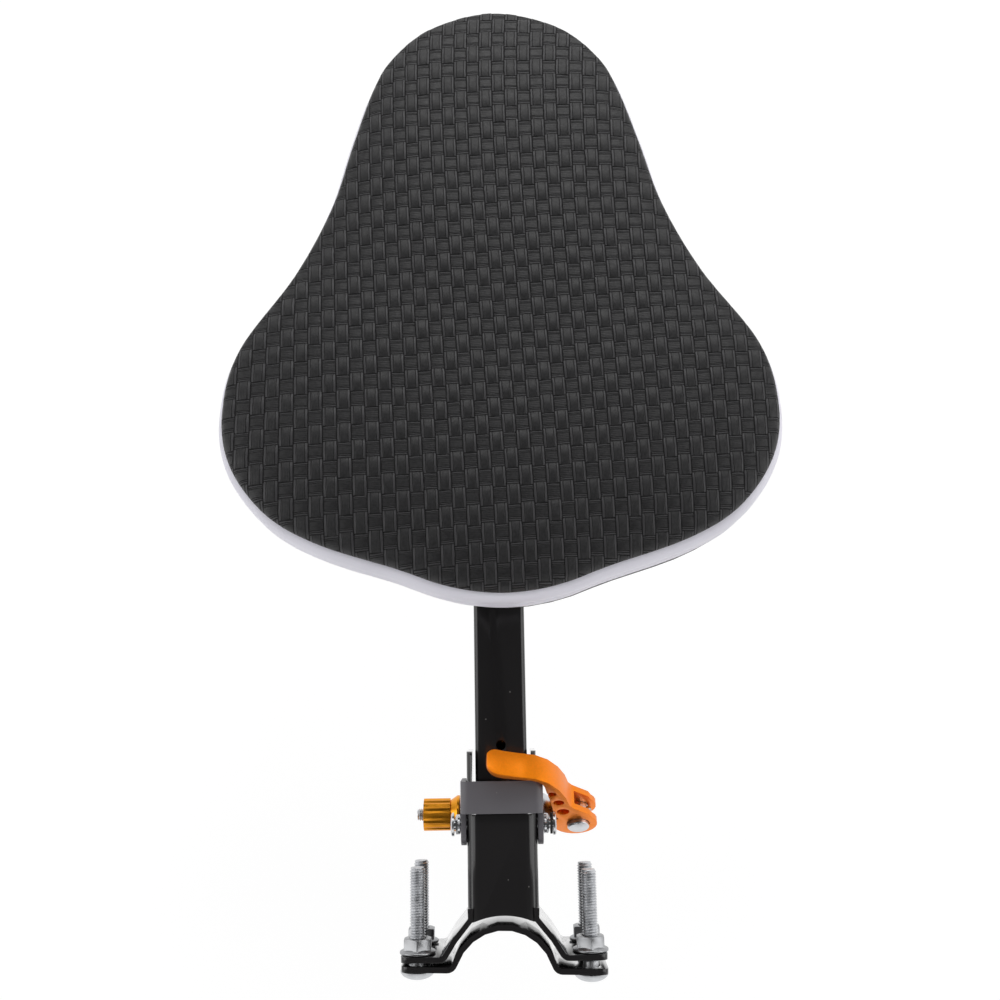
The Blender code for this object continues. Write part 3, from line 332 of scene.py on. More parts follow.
def threaded(name, diameter, pitch, depth, low, high, steps=24):
    """A threaded length of rod along z, closed and tapered at its upper end."""
    turns = math.ceil((high - low) / pitch) + 3
    radius = diameter / 2
    start = low - 1.5 * pitch
    profile = [
        (radius - depth, start), (radius, start + 0.42 * pitch),
        (radius, start + 0.54 * pitch), (radius - depth, start + pitch),
    ]
    rod = screwed(name, profile, pitch, turns, steps)
    sliced(rod, high, True)
    sliced(rod, low, False)
    taper = pitch * 0.9
    for vert in rod.data.vertices:
        over = vert.co.z - (high - taper)
        reach = math.hypot(vert.co.x, vert.co.y)
        limit = radius - depth * 0.9 * max(over, 0) / taper
        if reach > limit:
            vert.co.x *= limit / reach
            vert.co.y *= limit / reach
    return rod


# Materials

def placed(tree, kind, *inputs, **settings):
    """Adds a node, sets or links its first inputs in their order, and gives its outputs."""
    node = tree.nodes.new(kind)
    for label, value in settings.items():
        setattr(node, label, value)
    for socket, value in zip(node.inputs, inputs):
        if isinstance(value, bpy.types.NodeSocket):
            tree.links.new(value, socket)
        elif value is not None:
            socket.default_value = value
    return node.outputs


def maths(tree, operation, *values, clamp=False):
    return placed(tree, "ShaderNodeMath", *values, operation=operation, use_clamp=clamp)[0]


def faded(tree, value, start, end, low=1.0, high=0.0):
    """Goes smoothly from low to high as the value goes from start to end."""
    return placed(tree, "ShaderNodeMapRange", value, start, end, low, high, interpolation_type="SMOOTHSTEP")[0]


def mixed(tree, factor, *colours):
    """A mix of two colours, which are the Mix node's seventh and eighth inputs."""
    first, second = ((*c, 1.0) if isinstance(c, tuple) else c for c in colours)
    unused = [None] * 5
    return placed(tree, "ShaderNodeMix", factor, *unused, first, second, data_type="RGBA")[2]


def noise_value(tree, vector, scale, detail=3.0, roughness=0.5):
    return placed(tree, "ShaderNodeTexNoise", vector, None, scale, detail, roughness)[0]


def new_group(name, inputs, outputs):
    """A shader node group with named sockets, and its inner input and output sockets."""
    group = bpy.data.node_groups.new(name, "ShaderNodeTree")
    for label, kind, default in inputs:
        made = group.interface.new_socket(label, in_out="INPUT", socket_type=kind)
        if default is not None:
            made.default_value = default
    for label, kind in outputs:
        group.interface.new_socket(label, in_out="OUTPUT", socket_type=kind)
    return group, group.nodes.new("NodeGroupInput").outputs, group.nodes.new("NodeGroupOutput").inputs


def weave_group():
    """Basket weave: upright blocks over every other cell and lower lying ones between them. Each is a wide
    band with narrow ones beside it. Besides the height, it gives a mask for a painted highlight on the strands'
    ridges and a mask for painted shade in the grooves and in the gaps between blocks."""
    group, given, result = new_group(
        "Basket weave",
        [("Cells", "NodeSocketVector", None), ("Fray", "NodeSocketFloat", 0.5)],
        [("Height", "NodeSocketFloat"), ("Painted highlight", "NodeSocketFloat"), ("Painted shade", "NodeSocketFloat")],
    )
    u, v, _ = placed(group, "ShaderNodeSeparateXYZ", given["Cells"])
    odd_column = maths(group, "FLOORED_MODULO", maths(group, "FLOOR", u), 2)
    even_row = maths(group, "FLOORED_MODULO", maths(group, "ADD", maths(group, "FLOOR", v), 1), 2)
    fray = maths(group, "MULTIPLY", maths(group, "SUBTRACT", given["Fray"], 0.5), 0.08)

    def strip(across, along, number, level, crown, half, reach, grooves):
        """Cover, height, painted highlight on the ridges, and the share left out of the painted groove shade,
        for one family of blocks.
        """
        off = maths(group, "SUBTRACT", maths(group, "FRACT", across), 0.5)
        off = maths(group, "ABSOLUTE", maths(group, "ADD", off, fray))
        far = maths(group, "SUBTRACT", maths(group, "SUBTRACT", along, 0.5), number)
        far = maths(group, "ABSOLUTE", maths(group, "WRAP", far, 1, -1))
        far = maths(group, "ADD", far, fray)
        cover = maths(group, "MULTIPLY", faded(group, off, half - 0.02, half + 0.02),
                      faded(group, far, reach - 0.06, reach))
        top = maths(group, "MULTIPLY_ADD", maths(group, "MULTIPLY", far, far), -crown, level)
        fibres = maths(group, "COSINE", maths(group, "MULTIPLY", off, 2 * math.pi / 0.105))
        top = maths(group, "MULTIPLY_ADD", fibres, 0.03, top)
        ungrooved = 1.0
        for groove in grooves:
            away = maths(group, "ABSOLUTE", maths(group, "SUBTRACT", off, groove))
            sunk = faded(group, away, 0.008, 0.036)
            top = maths(group, "MULTIPLY_ADD", sunk, -0.40, top)
            ungrooved = maths(group, "MULTIPLY", maths(group, "SUBTRACT", 1.0, sunk), ungrooved)
        # Painted highlight: a pale line along each strand's ridge, between its groove and its edge
        outer = faded(group, off, grooves[0] + 0.01, grooves[0] + 0.03, 0.0, 1.0)
        painted_highlight = maths(group, "MULTIPLY", outer, ungrooved)
        # Share free of painted shade: 0.15 in the grooves and 0 in the gaps between blocks
        bright = maths(group, "MULTIPLY", cover, maths(group, "MULTIPLY_ADD", ungrooved, 0.85, 0.15))
        return cover, maths(group, "MULTIPLY", cover, top), maths(group, "MULTIPLY", cover, painted_highlight), bright

    tall, tall_height, tall_highlight, tall_bright = strip(u, v, odd_column, 1.0, 1.3, 0.475, 0.58, (0.295,))
    _, low_height, low_highlight, low_bright = strip(v, u, even_row, 0.62, 0.6, 0.405, 0.49, (0.235, 0.315))
    under = maths(group, "SUBTRACT", 1.0, tall)
    group.links.new(maths(group, "MAXIMUM", tall_height, low_height), result["Height"])
    # The highlight and the shade are painted: one mask makes the ridges paler, the other darkens grooves and
    # gaps
    group.links.new(maths(group, "MULTIPLY_ADD", under, low_highlight, tall_highlight), result["Painted highlight"])
    bright = maths(group, "MULTIPLY_ADD", under, low_bright, tall_bright)
    group.links.new(maths(group, "SUBTRACT", 1.0, bright, clamp=True), result["Painted shade"])
    return group


def specks_group():
    """Small scattered specks: dust, lint and chips."""
    group, given, result = new_group(
        "Scattered specks",
        [("Vector", "NodeSocketVector", None), ("Scale", "NodeSocketFloat", 400.0),
         ("Size", "NodeSocketFloat", 0.12), ("Share", "NodeSocketFloat", 0.04)],
        [("Mask", "NodeSocketFloat")],
    )
    cells = placed(group, "ShaderNodeTexVoronoi", given["Vector"], None, given["Scale"])
    split = placed(group, "ShaderNodeSeparateColor", cells["Color"])
    near = maths(group, "LESS_THAN", cells["Distance"], given["Size"])
    chosen = maths(group, "LESS_THAN", split[0], given["Share"])
    group.links.new(maths(group, "MULTIPLY", near, chosen), result["Mask"])
    return group


def grain_group():
    """Fine and coarse unevenness of a surface, as one value round a half."""
    group, given, result = new_group(
        "Surface grain",
        [("Vector", "NodeSocketVector", None), ("Fine", "NodeSocketFloat", 3000.0),
         ("Coarse", "NodeSocketFloat", 120.0), ("Coarse share", "NodeSocketFloat", 0.4)],
        [("Value", "NodeSocketFloat")],
    )
    fine, coarse = (noise_value(group, given["Vector"], given[label]) for label in ("Fine", "Coarse"))
    both = placed(group, "ShaderNodeMix", given["Coarse share"], None, fine, coarse)[0]
    group.links.new(both, result["Value"])
    return group


def edge_group():
    """Where outward edges are: 1 on a sharp edge, 0 on a flat face."""
    group, given, result = new_group(
        "Edge wear",
        [("Spread", "NodeSocketFloat", 0.06)],
        [("Mask", "NodeSocketFloat")],
    )
    over = maths(group, "SUBTRACT", placed(group, "ShaderNodeNewGeometry")["Pointiness"], 0.5)
    group.links.new(maths(group, "DIVIDE", over, given["Spread"], clamp=True), result["Mask"])
    return group


GROUPS = {}


def group_node(tree, name, **values):
    """Places a shared node group in a material, with its own values."""
    makers = {"weave": weave_group, "specks": specks_group, "grain": grain_group, "edge": edge_group}
    if name not in GROUPS:
        GROUPS[name] = makers[name]()
    node = tree.nodes.new("ShaderNodeGroup")
    node.node_tree = GROUPS[name]
    for label, value in values.items():
        socket = node.inputs[label.replace("_", " ")]
        if isinstance(value, (int, float)):
            socket.default_value = value
        else:
            tree.links.new(value, socket)
    return node.outputs


class Finish:
    """A material with its Principled shader, in the making."""

    def __init__(self, name, base, roughness, metallic=0.0, **plain):
        self.material = bpy.data.materials.new(name)
        self.material.use_nodes = True
        self.tree = self.material.node_tree
        self.shader = self.tree.nodes["Principled BSDF"]
        self.base = tuple(base)
        self.shader.inputs["Base Color"].default_value = (*self.base, 1.0)
        self.shader.inputs["Roughness"].default_value = roughness
        self.shader.inputs["Metallic"].default_value = metallic
        for label, value in plain.items():
            self.shader.inputs[label.replace("_", " ")].default_value = value
        self.object_coordinates = placed(self.tree, "ShaderNodeTexCoord")["Object"]

    def feed(self, label, socket):
        self.tree.links.new(socket, self.shader.inputs[label])

    def scaled(self, share):
        return tuple(share * c for c in self.base)

    def patterned(self, group, output, **values):
        return group_node(self.tree, group, Vector=self.object_coordinates, **values)[output]

    def grain(self, fine, coarse, coarse_share):
        return self.patterned("grain", "Value", Fine=fine, Coarse=coarse, Coarse_share=coarse_share)

    def specks(self, scale, size, share):
        return self.patterned("specks", "Mask", Scale=scale, Size=size, Share=share)

    def noise(self, scale, *detail):
        return noise_value(self.tree, self.object_coordinates, scale, *detail)

    def bump(self, height, distance, normal=None):
        node = self.tree.nodes.new("ShaderNodeBump")
        node.inputs["Distance"].default_value = distance
        node.inputs["Strength"].default_value = 1.0
        self.tree.links.new(height, node.inputs["Height"])
        if normal is not None:
            self.tree.links.new(normal, node.inputs["Normal"])
        return node.outputs[0]


def paint(name, base, roughness, wear, glare, specular=0.5):
    """Baked paint: dust, edges where it has thinned, and a glare where it is seen at a grazing angle."""
    finish = Finish(name, base, roughness, Specular_IOR_Level=specular, Coat_Roughness=0.06, Coat_IOR=2.1)
    tree = finish.tree
    facing = placed(tree, "ShaderNodeLayerWeight", 0.5)["Facing"]
    finish.feed("Coat Weight", faded(tree, facing, 0.60, 0.80, 0.0, glare))
    dust = finish.specks(520.0, 0.16, 0.045)
    edge = group_node(tree, "edge", Spread=0.10)["Mask"]
    worn = maths(tree, "MULTIPLY", edge, wear, clamp=True)
    shade_of = mixed(tree, worn, finish.base, tuple(min(1.0, 0.045 + 2.5 * c) for c in finish.base))
    dusty = mixed(tree, maths(tree, "MULTIPLY", dust, 0.35), shade_of, (0.35, 0.34, 0.33))
    finish.feed("Base Color", dusty)
    grain = finish.grain(2600.0, 1400.0, 0.5)
    finish.feed("Roughness", faded(tree, grain, 0.2, 0.8, roughness * 0.9, roughness * 1.1))
    finish.feed("Normal", finish.bump(grain, 0.000003))
    return finish.material


def plated(name, base, roughness):
    """Zinc plate: metal with a faint cloudiness and a fine grain."""
    finish = Finish(name, base, roughness, 1.0)
    tree = finish.tree
    cloud = finish.noise(240.0, 4.0, 0.6)
    dull = tuple(0.80 * c for c in base)
    finish.feed("Base Color", mixed(tree, faded(tree, cloud, 0.3, 0.7, 0.0, 1.0), dull, base))
    finish.feed("Roughness", faded(tree, cloud, 0.25, 0.75, roughness * 0.8, roughness * 1.2))
    grain = finish.grain(5200.0, 800.0, 0.45)
    finish.feed("Normal", finish.bump(grain, 0.00001))
    return finish.material


def anodised(name, base, roughness, coat):
    """Coloured aluminium with a fine blasted grain and a thin gloss."""
    finish = Finish(name, base, roughness, 1.0, Coat_Weight=coat, Coat_Roughness=0.2)
    tree = finish.tree
    grain = finish.grain(6500.0, 900.0, 0.3)
    deep = tuple(0.86 * c for c in base)
    finish.feed("Base Color", mixed(tree, faded(tree, grain, 0.35, 0.65, 0.0, 1.0), deep, finish.base))
    finish.feed("Roughness", faded(tree, grain, 0.3, 0.7, roughness * 0.85, roughness * 1.2))
    finish.feed("Normal", finish.bump(grain, 0.000008))
    return finish.material


def woven_leather(settings):
    """Embossed leathercloth in the cushion's own weave, with painted shade in its grooves and a painted
    highlight on its ridges.
    """
    finish = Finish("woven_leathercloth", settings.tint, 0.5, Specular_IOR_Level=0.38)
    tree = finish.tree
    cells = placed(tree, "ShaderNodeUVMap", uv_map="weave")[0]
    grain = finish.grain(2600.0, 420.0, 0.5)
    weave = group_node(tree, "weave", Cells=cells, Fray=finish.noise(330.0))
    lint = finish.specks(95.0, 0.05, 0.03)
    patches = faded(tree, finish.noise(900.0, 4.0, 0.7), 0.3, 0.7, 0.0, 1.0)
    plain = mixed(tree, patches, finish.scaled(0.6), finish.scaled(1.4))
    # Painted highlight: the ridges are three times paler than the cover
    with_painted_highlight = mixed(tree, weave["Painted highlight"], plain, finish.scaled(3.0))
    # Painted shade: the grooves and the gaps between blocks are darkened to a tenth
    shade_of = mixed(tree, weave["Painted shade"], with_painted_highlight, finish.scaled(0.1))
    finish.feed("Base Color", mixed(tree, maths(tree, "MULTIPLY", lint, 0.4), shade_of, (0.35, 0.35, 0.36)))
    uneven = faded(tree, grain, 0.25, 0.75, 0.40, 0.60)
    # Rougher where the shade is painted, in the grooves
    finish.feed("Roughness", maths(tree, "MULTIPLY_ADD", weave["Painted shade"], 0.35, uneven))
    relief = finish.bump(weave["Height"], settings.strand_relief)
    finish.feed("Normal", finish.bump(grain, 0.00006, relief))
    return finish.material


def white_leather(settings):
    """White leathercloth with a fine grain, a little soiled in places."""
    finish = Finish("white_leathercloth", settings.tint, 0.42)
    tree = finish.tree
    grain = finish.grain(2200.0, 160.0, 0.5)
    patches = faded(tree, finish.noise(45.0), 0.35, 0.75, 0.0, 0.5)
    finish.feed("Base Color", mixed(tree, patches, finish.base, finish.scaled(0.88)))
    finish.feed("Roughness", faded(tree, grain, 0.3, 0.7, 0.34, 0.50))
    finish.feed("Normal", finish.bump(grain, 0.00003))
    return finish.material


def moulded(name, base, roughness, fine, depth):
    """Moulded plastic or rubber with an even grain."""
    finish = Finish(name, base, roughness)
    tree = finish.tree
    grain = finish.grain(fine, fine / 6, 0.4)
    dust = finish.specks(300.0, 0.12, 0.03)
    finish.feed("Base Color", mixed(tree, maths(tree, "MULTIPLY", dust, 0.3), finish.base, (0.3, 0.3, 0.3)))
    finish.feed("Roughness", faded(tree, grain, 0.3, 0.7, roughness * 0.9, roughness * 1.1))
    finish.feed("Normal", finish.bump(grain, depth))
    return finish.material


MATERIALS = {}


def finish_named(name):
    """Each finish is made once, with the colours of the settings."""
    if name not in MATERIALS:
        scene = bpy.context.scene
        metal = scene.seat_metal
        zinc = tuple(metal.zinc)
        makers = {
            "black_paint": lambda: paint("gloss_black_paint", metal.black, 0.18, 0.3, 1.0),
            "grey_paint": lambda: paint("satin_grey_paint", metal.grey, 0.45, 0.25, 0.0, 0.4),
            "zinc_plate": lambda: plated("bright_zinc_plate", zinc, 0.30),
            "thread": lambda: plated("zinc_plated_thread", zinc, 0.48),
            # Flange nuts: the same zinc darkened to 0.55 as painted shade, for the darker reflections in their
            # facets
            "nut": lambda: plated("zinc_plate_with_painted_shade", tuple(0.55 * c for c in zinc), 0.36),
            "orange_anodised": lambda: anodised("orange_anodising", tuple(metal.orange), 0.42, 0.10),
            "gold_anodised": lambda: anodised("gold_anodising", tuple(metal.gold), 0.32, 0.15),
            "black_rubber": lambda: moulded("black_rubber", (0.015, 0.015, 0.015), 0.65, 2400.0, 0.00002),
            "black_board": lambda: moulded("black_board", (0.018, 0.017, 0.018), 0.55, 1100.0, 0.00006),
            "woven_cover": lambda: woven_leather(scene.seat_cushion),
            "white_band": lambda: white_leather(scene.seat_band),
        }
        MATERIALS[name] = makers[name]()
    return MATERIALS[name]


# Saddle outline and the crown's height

def seam_outline(samples=6):
    """The seam line, anticlockwise, smoothed through the top edge of the side band."""
    points = node_points("saddle_side_band")
    top = points[:, 2].max()
    rim = np.unique(np.round(points[points[:, 2] > top - 0.00002][:, :2], 6), axis=0)
    middle = rim.mean(0)
    reach = np.hypot(*(rim - middle).T)
    outer = []
    for index, point in enumerate(rim):
        near = np.hypot(*(rim - point).T) < 0.0035
        if not (reach[near] > reach[index] + 0.0012).any():
            outer.append(point)
    outer = np.array(outer)
    outer = outer[np.argsort(np.arctan2(*(outer - middle).T[::-1]))]
    before, after, beyond = np.roll(outer, 1, 0), np.roll(outer, -1, 0), np.roll(outer, -2, 0)
    curve = []
    for step in range(samples):
        t = step / samples
        curve.append(0.5 * (
            2 * outer + (after - before) * t + (2 * before - 5 * outer + 4 * after - beyond) * t ** 2
            + (3 * outer - before - 3 * after + beyond) * t ** 3
        ))
    return np.stack(curve, 1).reshape(-1, 2)


def outline_normals(outline):
    along = np.roll(outline, -1, 0) - np.roll(outline, 1, 0)
    along /= np.hypot(*along.T)[:, None]
    return np.stack([along[:, 1], -along[:, 0]], 1)


class SaddleShape:
    """The saddle's seam line, its centre, and the crown's height at any point."""

    def __init__(self, settings):
        self.settings = settings
        self.outline = seam_outline()
        low, high = self.outline.min(0), self.outline.max(0)
        self.rear, self.size = low[1], high - low
        self.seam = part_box("saddle_side_band")[1].z
        self.centre = np.array([(low[0] + high[0]) / 2, low[1] + 0.36 * self.size[1]])
        offset = self.outline - self.centre
        order = np.argsort(np.arctan2(offset[:, 1], offset[:, 0]))
        self.angles = np.arctan2(offset[:, 1], offset[:, 0])[order]
        self.reaches = np.hypot(*offset.T)[order]

    def height(self, points):
        offset = points - self.centre
        around = np.arctan2(offset[:, 1], offset[:, 0])
        reach = np.interp(around, self.angles, self.reaches, period=2 * math.pi)
        out = np.minimum(np.hypot(*offset.T) / reach, 1.0)
        along = np.clip((points[:, 1] - self.rear) / self.size[1], 0, 1)
        s = self.settings
        dip = s.dip * np.sin(math.pi * along) * (1 - out ** 2)
        dome = (1 - out ** 2.6) ** 0.72
        return self.seam + s.rim + (s.crown - s.rim) * dome - dip

    def nearest(self, points):
        """Signed distance inside the outline, and the place along it, for each point."""
        start = self.outline
        edge = np.roll(start, -1, 0) - start
        squared = (edge ** 2).sum(1)
        inside = np.zeros(len(points), bool)
        best = np.full(len(points), 1e9)
        place = np.zeros(len(points))
        for index in range(len(start)):
            to = points - start[index]
            t = np.clip((to @ edge[index]) / squared[index], 0, 1)
            gap = np.hypot(*(to - t[:, None] * edge[index]).T)
            closer = gap < best
            best[closer] = gap[closer]
            place[closer] = index + t[closer]
            crosses = (start[index][1] > points[:, 1]) != (start[index][1] + edge[index][1] > points[:, 1])
            if edge[index][1] != 0:
                x = start[index][0] + edge[index][0] * (points[:, 1] - start[index][1]) / edge[index][1]
                inside ^= crosses & (points[:, 0] < x)
        return np.where(inside, best, -best), place

    def at(self, place, outward=0.0):
        """Points at places along the outline, moved outwards."""
        count = len(self.outline)
        index = np.floor(place).astype(int) % count
        t = (place - np.floor(place))[:, None]
        normals = outline_normals(self.outline)
        after = (index + 1) % count
        on = self.outline[index] * (1 - t) + self.outline[after] * t
        return on + (normals[index] * (1 - t) + normals[after] * t) * outward


# Where the stretched cover's blocks lie. Each is a cubic in x and y, counted in blocks, with x and y in tenths
# of a metre from a point WEAVE_MIDDLE ahead of the tube. Its terms are 1, x, y, xx, xy, yy, xxx, xxy, xyy, yyy.
BLOCKS_ACROSS = (0.2168, 20.232, 1.1468, -0.075, -0.8, -0.2, -0.825, -1.225, -0.375, -0.2625)
BLOCKS_ALONG = (1.4165, -0.7229, 13.798, -0.5625, 0.2, -1.125, 0.025, -0.2, 0.25, 0.15)
WEAVE_MIDDLE = 0.25
REAR_STRETCH = 1.7


def to_cells(points):
    """Position in the weave, in blocks across and along."""
    x = points[:, 0] / 0.1
    y = (points[:, 1] - WEAVE_MIDDLE) / 0.1
    terms = np.stack([
        np.ones_like(x), x, y, x * x, x * y, y * y, x ** 3, x * x * y, x * y * y, y ** 3,
    ], 1)
    rear = np.clip(-y - 0.5, 0, None)
    return np.stack([terms @ BLOCKS_ACROSS, terms @ BLOCKS_ALONG + REAR_STRETCH * rear ** 2], 1)


def from_cells(cells):
    """Points at positions in the weave, found by Newton's steps; those that find none lie far away."""
    across = (cells[:, 0] - BLOCKS_ACROSS[0]) / BLOCKS_ACROSS[1]
    along = (cells[:, 1] - BLOCKS_ALONG[0]) / BLOCKS_ALONG[2]
    points = np.stack([across * 0.1, along * 0.1 + WEAVE_MIDDLE], 1)
    step = 0.000001
    for _ in range(12):
        here = to_cells(points)
        by_x = (to_cells(points + (step, 0)) - here) / step
        by_y = (to_cells(points + (0, step)) - here) / step
        off = cells - here
        area = by_x[:, 0] * by_y[:, 1] - by_x[:, 1] * by_y[:, 0]
        x = (off[:, 0] * by_y[:, 1] - off[:, 1] * by_y[:, 0]) / area
        y = (by_x[:, 0] * off[:, 1] - by_x[:, 1] * off[:, 0]) / area
        points = points + np.clip(np.stack([x, y], 1), -0.03, 0.03)
    lost = np.abs(to_cells(points) - cells).max(1) > 0.001
    points[lost] = (5.0, 5.0)
    return points


def block_relief(cells):
    """Soft height of the woven blocks, 0 to 1."""
    u, v = cells[:, 0], cells[:, 1]
    off_u = np.abs(np.mod(u, 1) - 0.5)
    off_v = np.abs(np.mod(v, 1) - 0.5)
    up = np.abs(np.mod(v - 0.5 - np.mod(np.floor(u), 2) + 1, 2) - 1)
    side = np.abs(np.mod(u - 0.5 - np.mod(np.floor(v) + 1, 2) + 1, 2) - 1)
    upright = np.clip((0.5 - off_u) / 0.09, 0, 1) * np.clip(1 - 0.6 * (up / 0.55) ** 2, 0, 1) * (up < 0.58)
    lying = 0.55 * np.clip((0.44 - off_v) / 0.09, 0, 1) * np.clip(1 - 0.5 * (side / 0.5) ** 2, 0, 1)
    return np.maximum(upright, lying)


def fine_noise(points, scale, depth):
    return np.array([noise.noise(Vector((x * scale, y * scale, 0))) for x, y in points[:, :2]]) * depth


def build_cushion(settings):
    """The crowned cushion: a woven top with a rolled edge, closed underneath."""
    shape = SaddleShape(settings)
    per_u, per_v = 7, 9
    bounds = to_cells(shape.outline)
    low = np.floor(bounds.min(0)) - 1
    high = np.ceil(bounds.max(0)) + 1
    us = np.arange(low[0] * per_u, high[0] * per_u + 1) / per_u
    vs = np.arange(low[1] * per_v, high[1] * per_v + 1) / per_v
    grid_u, grid_v = np.meshgrid(us, vs, indexing="ij")
    cells = np.stack([grid_u.ravel(), grid_v.ravel()], 1)
    points = from_cells(cells)
    columns, rows = grid_u.shape

    index = np.arange(columns * rows).reshape(columns, rows)
    quads = np.stack([index[:-1, :-1], index[1:, :-1], index[1:, 1:], index[:-1, 1:]], -1).reshape(-1, 4)
    depth, place = shape.nearest(points)
    middle = depth[quads].mean(1)
    quads = quads[middle > settings.roll]

    edges = {}
    for quad in quads:
        for a, b in zip(quad, np.roll(quad, -1)):
            edges[(a, b)] = True
    boundary = {a: b for a, b in edges if (b, a) not in edges}
    loop = [next(iter(boundary))]
    while boundary[loop[-1]] != loop[0]:
        loop.append(boundary[loop[-1]])
    loop = np.array(loop)

    count = len(shape.outline)
    steps = np.mod(np.diff(place[loop], append=place[loop[0]]) + count / 2, count) - count / 2
    smooth_place = place[loop][0] + np.concatenate([[0], np.cumsum(np.maximum(steps, 0.05))[:-1]])
    total = np.maximum(steps, 0.05).sum()
    smooth_place = place[loop][0] + (smooth_place - smooth_place[0]) * count / total
    points[loop] = shape.at(np.mod(smooth_place, count), -settings.roll)
    depth, _ = shape.nearest(points)

    used = np.unique(quads)
    renumber = np.full(len(points), -1)
    renumber[used] = np.arange(len(used))
    flat = points[used]
    inner = np.clip(depth[used] / 0.007, 0, 1)
    fade = 0.45 + 0.55 * inner * inner * (3 - 2 * inner)
    z = shape.height(flat) + settings.relief * fade * block_relief(to_cells(flat))
    z += fine_noise(flat, 28.0, 0.00035)
    verts = [np.column_stack([flat, z])]
    faces = [tuple(int(renumber[i]) for i in quad) for quad in quads]

    # Rings from the rolled edge down to the seam, in behind the band, and down to the board
    rim_z = z[renumber[loop]]
    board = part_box("saddle_foam")[0].z
    floor_z = shape.seam + 0.0004
    rings = [renumber[loop]]
    start = len(used)
    ring_places = np.mod(smooth_place, count)
    for outward, height in (
        (-0.55 * settings.roll, rim_z + (floor_z + 0.0011 - rim_z) * 0.30),
        (-0.18 * settings.roll, rim_z + (floor_z + 0.0011 - rim_z) * 0.66),
        (0.0, rim_z + (floor_z + 0.0011 - rim_z)),
        (-0.0005, floor_z), (-0.0021, floor_z - 0.0006), (-0.0024, board),
    ):
        heights = np.broadcast_to(height, len(loop))
        verts.append(np.column_stack([shape.at(ring_places, outward), heights]))
        rings.append(np.arange(start, start + len(loop)))
        start += len(loop)
    verts.append(np.array([[*shape.centre, board]]))
    for a in range(len(loop)):
        b = (a + 1) % len(loop)
        for upper, lower in zip(rings, rings[1:]):
            faces.append((int(upper[b]), int(upper[a]), int(lower[a]), int(lower[b])))
        faces.append((int(rings[-1][b]), int(rings[-1][a]), start))

    verts = np.concatenate(verts)
    data = bpy.data.meshes.new("saddle_cushion")
    data.from_pydata(verts.tolist(), [], faces)
    layer = data.uv_layers.new(name="weave")
    cells = to_cells(verts[:, :2])
    corners = np.zeros(len(data.loops), np.int32)
    data.loops.foreach_get("vertex_index", corners)
    layer.data.foreach_set("uv", cells[corners].astype(np.float32).ravel())
    data.validate()
    data.update()
    cushion = linked("saddle_cushion", data)
    with whole_mesh_edited(cushion):
        bpy.ops.mesh.normals_make_consistent(inside=False)
    bpy.ops.object.shade_smooth()
    hand_over(cushion, "saddle_cover", "woven_cover", nodes=("saddle_cover", "saddle_foam"))


def build_band(settings, cushion):
    """The white side band: an upper roll, a crease and a flatter lower roll, with small puckers."""
    shape = SaddleShape(cushion)
    low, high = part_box("saddle_side_band")
    top = high.z
    tall = high.z - low.z
    crease = settings.crease
    outer = [
        (-0.9, 0.0), (-0.25, 0.012), (0.18, 0.035), (0.55, 0.09), (0.86, 0.17), (1.0, 0.26), (0.98, 0.36),
        (0.84, crease - 0.09), (0.62, crease - 0.04), (0.50, crease - 0.012), (0.52, crease + 0.012),
        (0.66, crease + 0.04), (0.74, 0.66), (0.70, 0.78), (0.52, 0.90), (0.22, 0.97), (-0.3, 1.0),
    ]
    count = len(shape.outline)
    places = np.arange(count, dtype=float)
    normals = outline_normals(shape.outline)
    rings = []
    for outward, down in outer:
        puckers = fine_noise(shape.outline + 7.0 * down, 95.0, 0.00022 * min(1.0, 4 * down * (1 - down) + 0.1))
        slow = fine_noise(shape.outline + 2.0, 22.0, 0.0004 * min(1.0, 4 * down * (1 - down)))
        ring = shape.at(places, outward * settings.bulge)
        ring = ring + normals * (puckers + slow)[:, None]
        rings.append(np.column_stack([ring, np.full(count, top - tall * down)]))
    inner = shape.at(places, -0.0019)
    rings.append(np.column_stack([inner, np.full(count, low.z)]))
    rings.append(np.column_stack([inner, np.full(count, top)]))
    verts = np.concatenate(rings)
    faces = []
    for ring in range(len(rings)):
        below = (ring + 1) % len(rings)
        for step in range(count):
            after = (step + 1) % count
            faces.append((
                ring * count + after, ring * count + step, below * count + step, below * count + after,
            ))
    data = bpy.data.meshes.new("side_band")
    data.from_pydata(verts.tolist(), [], faces)
    band = linked("side_band", data)
    with whole_mesh_edited(band):
        bpy.ops.mesh.normals_make_consistent(inside=False)
    shade(band, 60)
    hand_over(band, "saddle_side_band", "white_band")


# Sheet metal, arm and board

def build_clamp_sheets(settings):
    refine("clamp_bracket", "black_paint", settings.edge)
    refine("lower_clamp_plate", "black_paint", settings.edge)
    refine("yoke_strap", "grey_paint", settings.edge)


def build_arm(settings):
    refine("seat_arm", "black_paint", settings.edge * 0.7)
    for node in ("saddle_plate", "saddle_gusset_left", "saddle_gusset_right"):
        refine(node, "black_paint", settings.edge)
    refine("arm_end_plug", "black_rubber", settings.edge)
    repaint("saddle_base", "black_board")
    for side in ("left", "right"):
        for end in ("front", "rear"):
            repaint(f"plate_screw_{side}_{end}", "zinc_plate")


# Fasteners

HEAD_HEIGHT = 0.0032
NECK_LENGTH = 0.0040
NECK_RADIUS = 0.0029
BOLT_DIAMETER = 0.006
FLANGE_NUT_FLATS = 0.010
FLANGE_NUT_BORE = 0.0063
SIDE_NUT_FLATS = 0.0064
SIDE_NUT_BORE = 0.0042
SIDE_SCREW_RADIUS = 0.0019
ROD_DIAMETER = 0.0048
ROD_PITCH = 0.0008
ROD_THREAD_DEPTH = 0.0004
ROD_THREAD_LENGTH = 0.0125


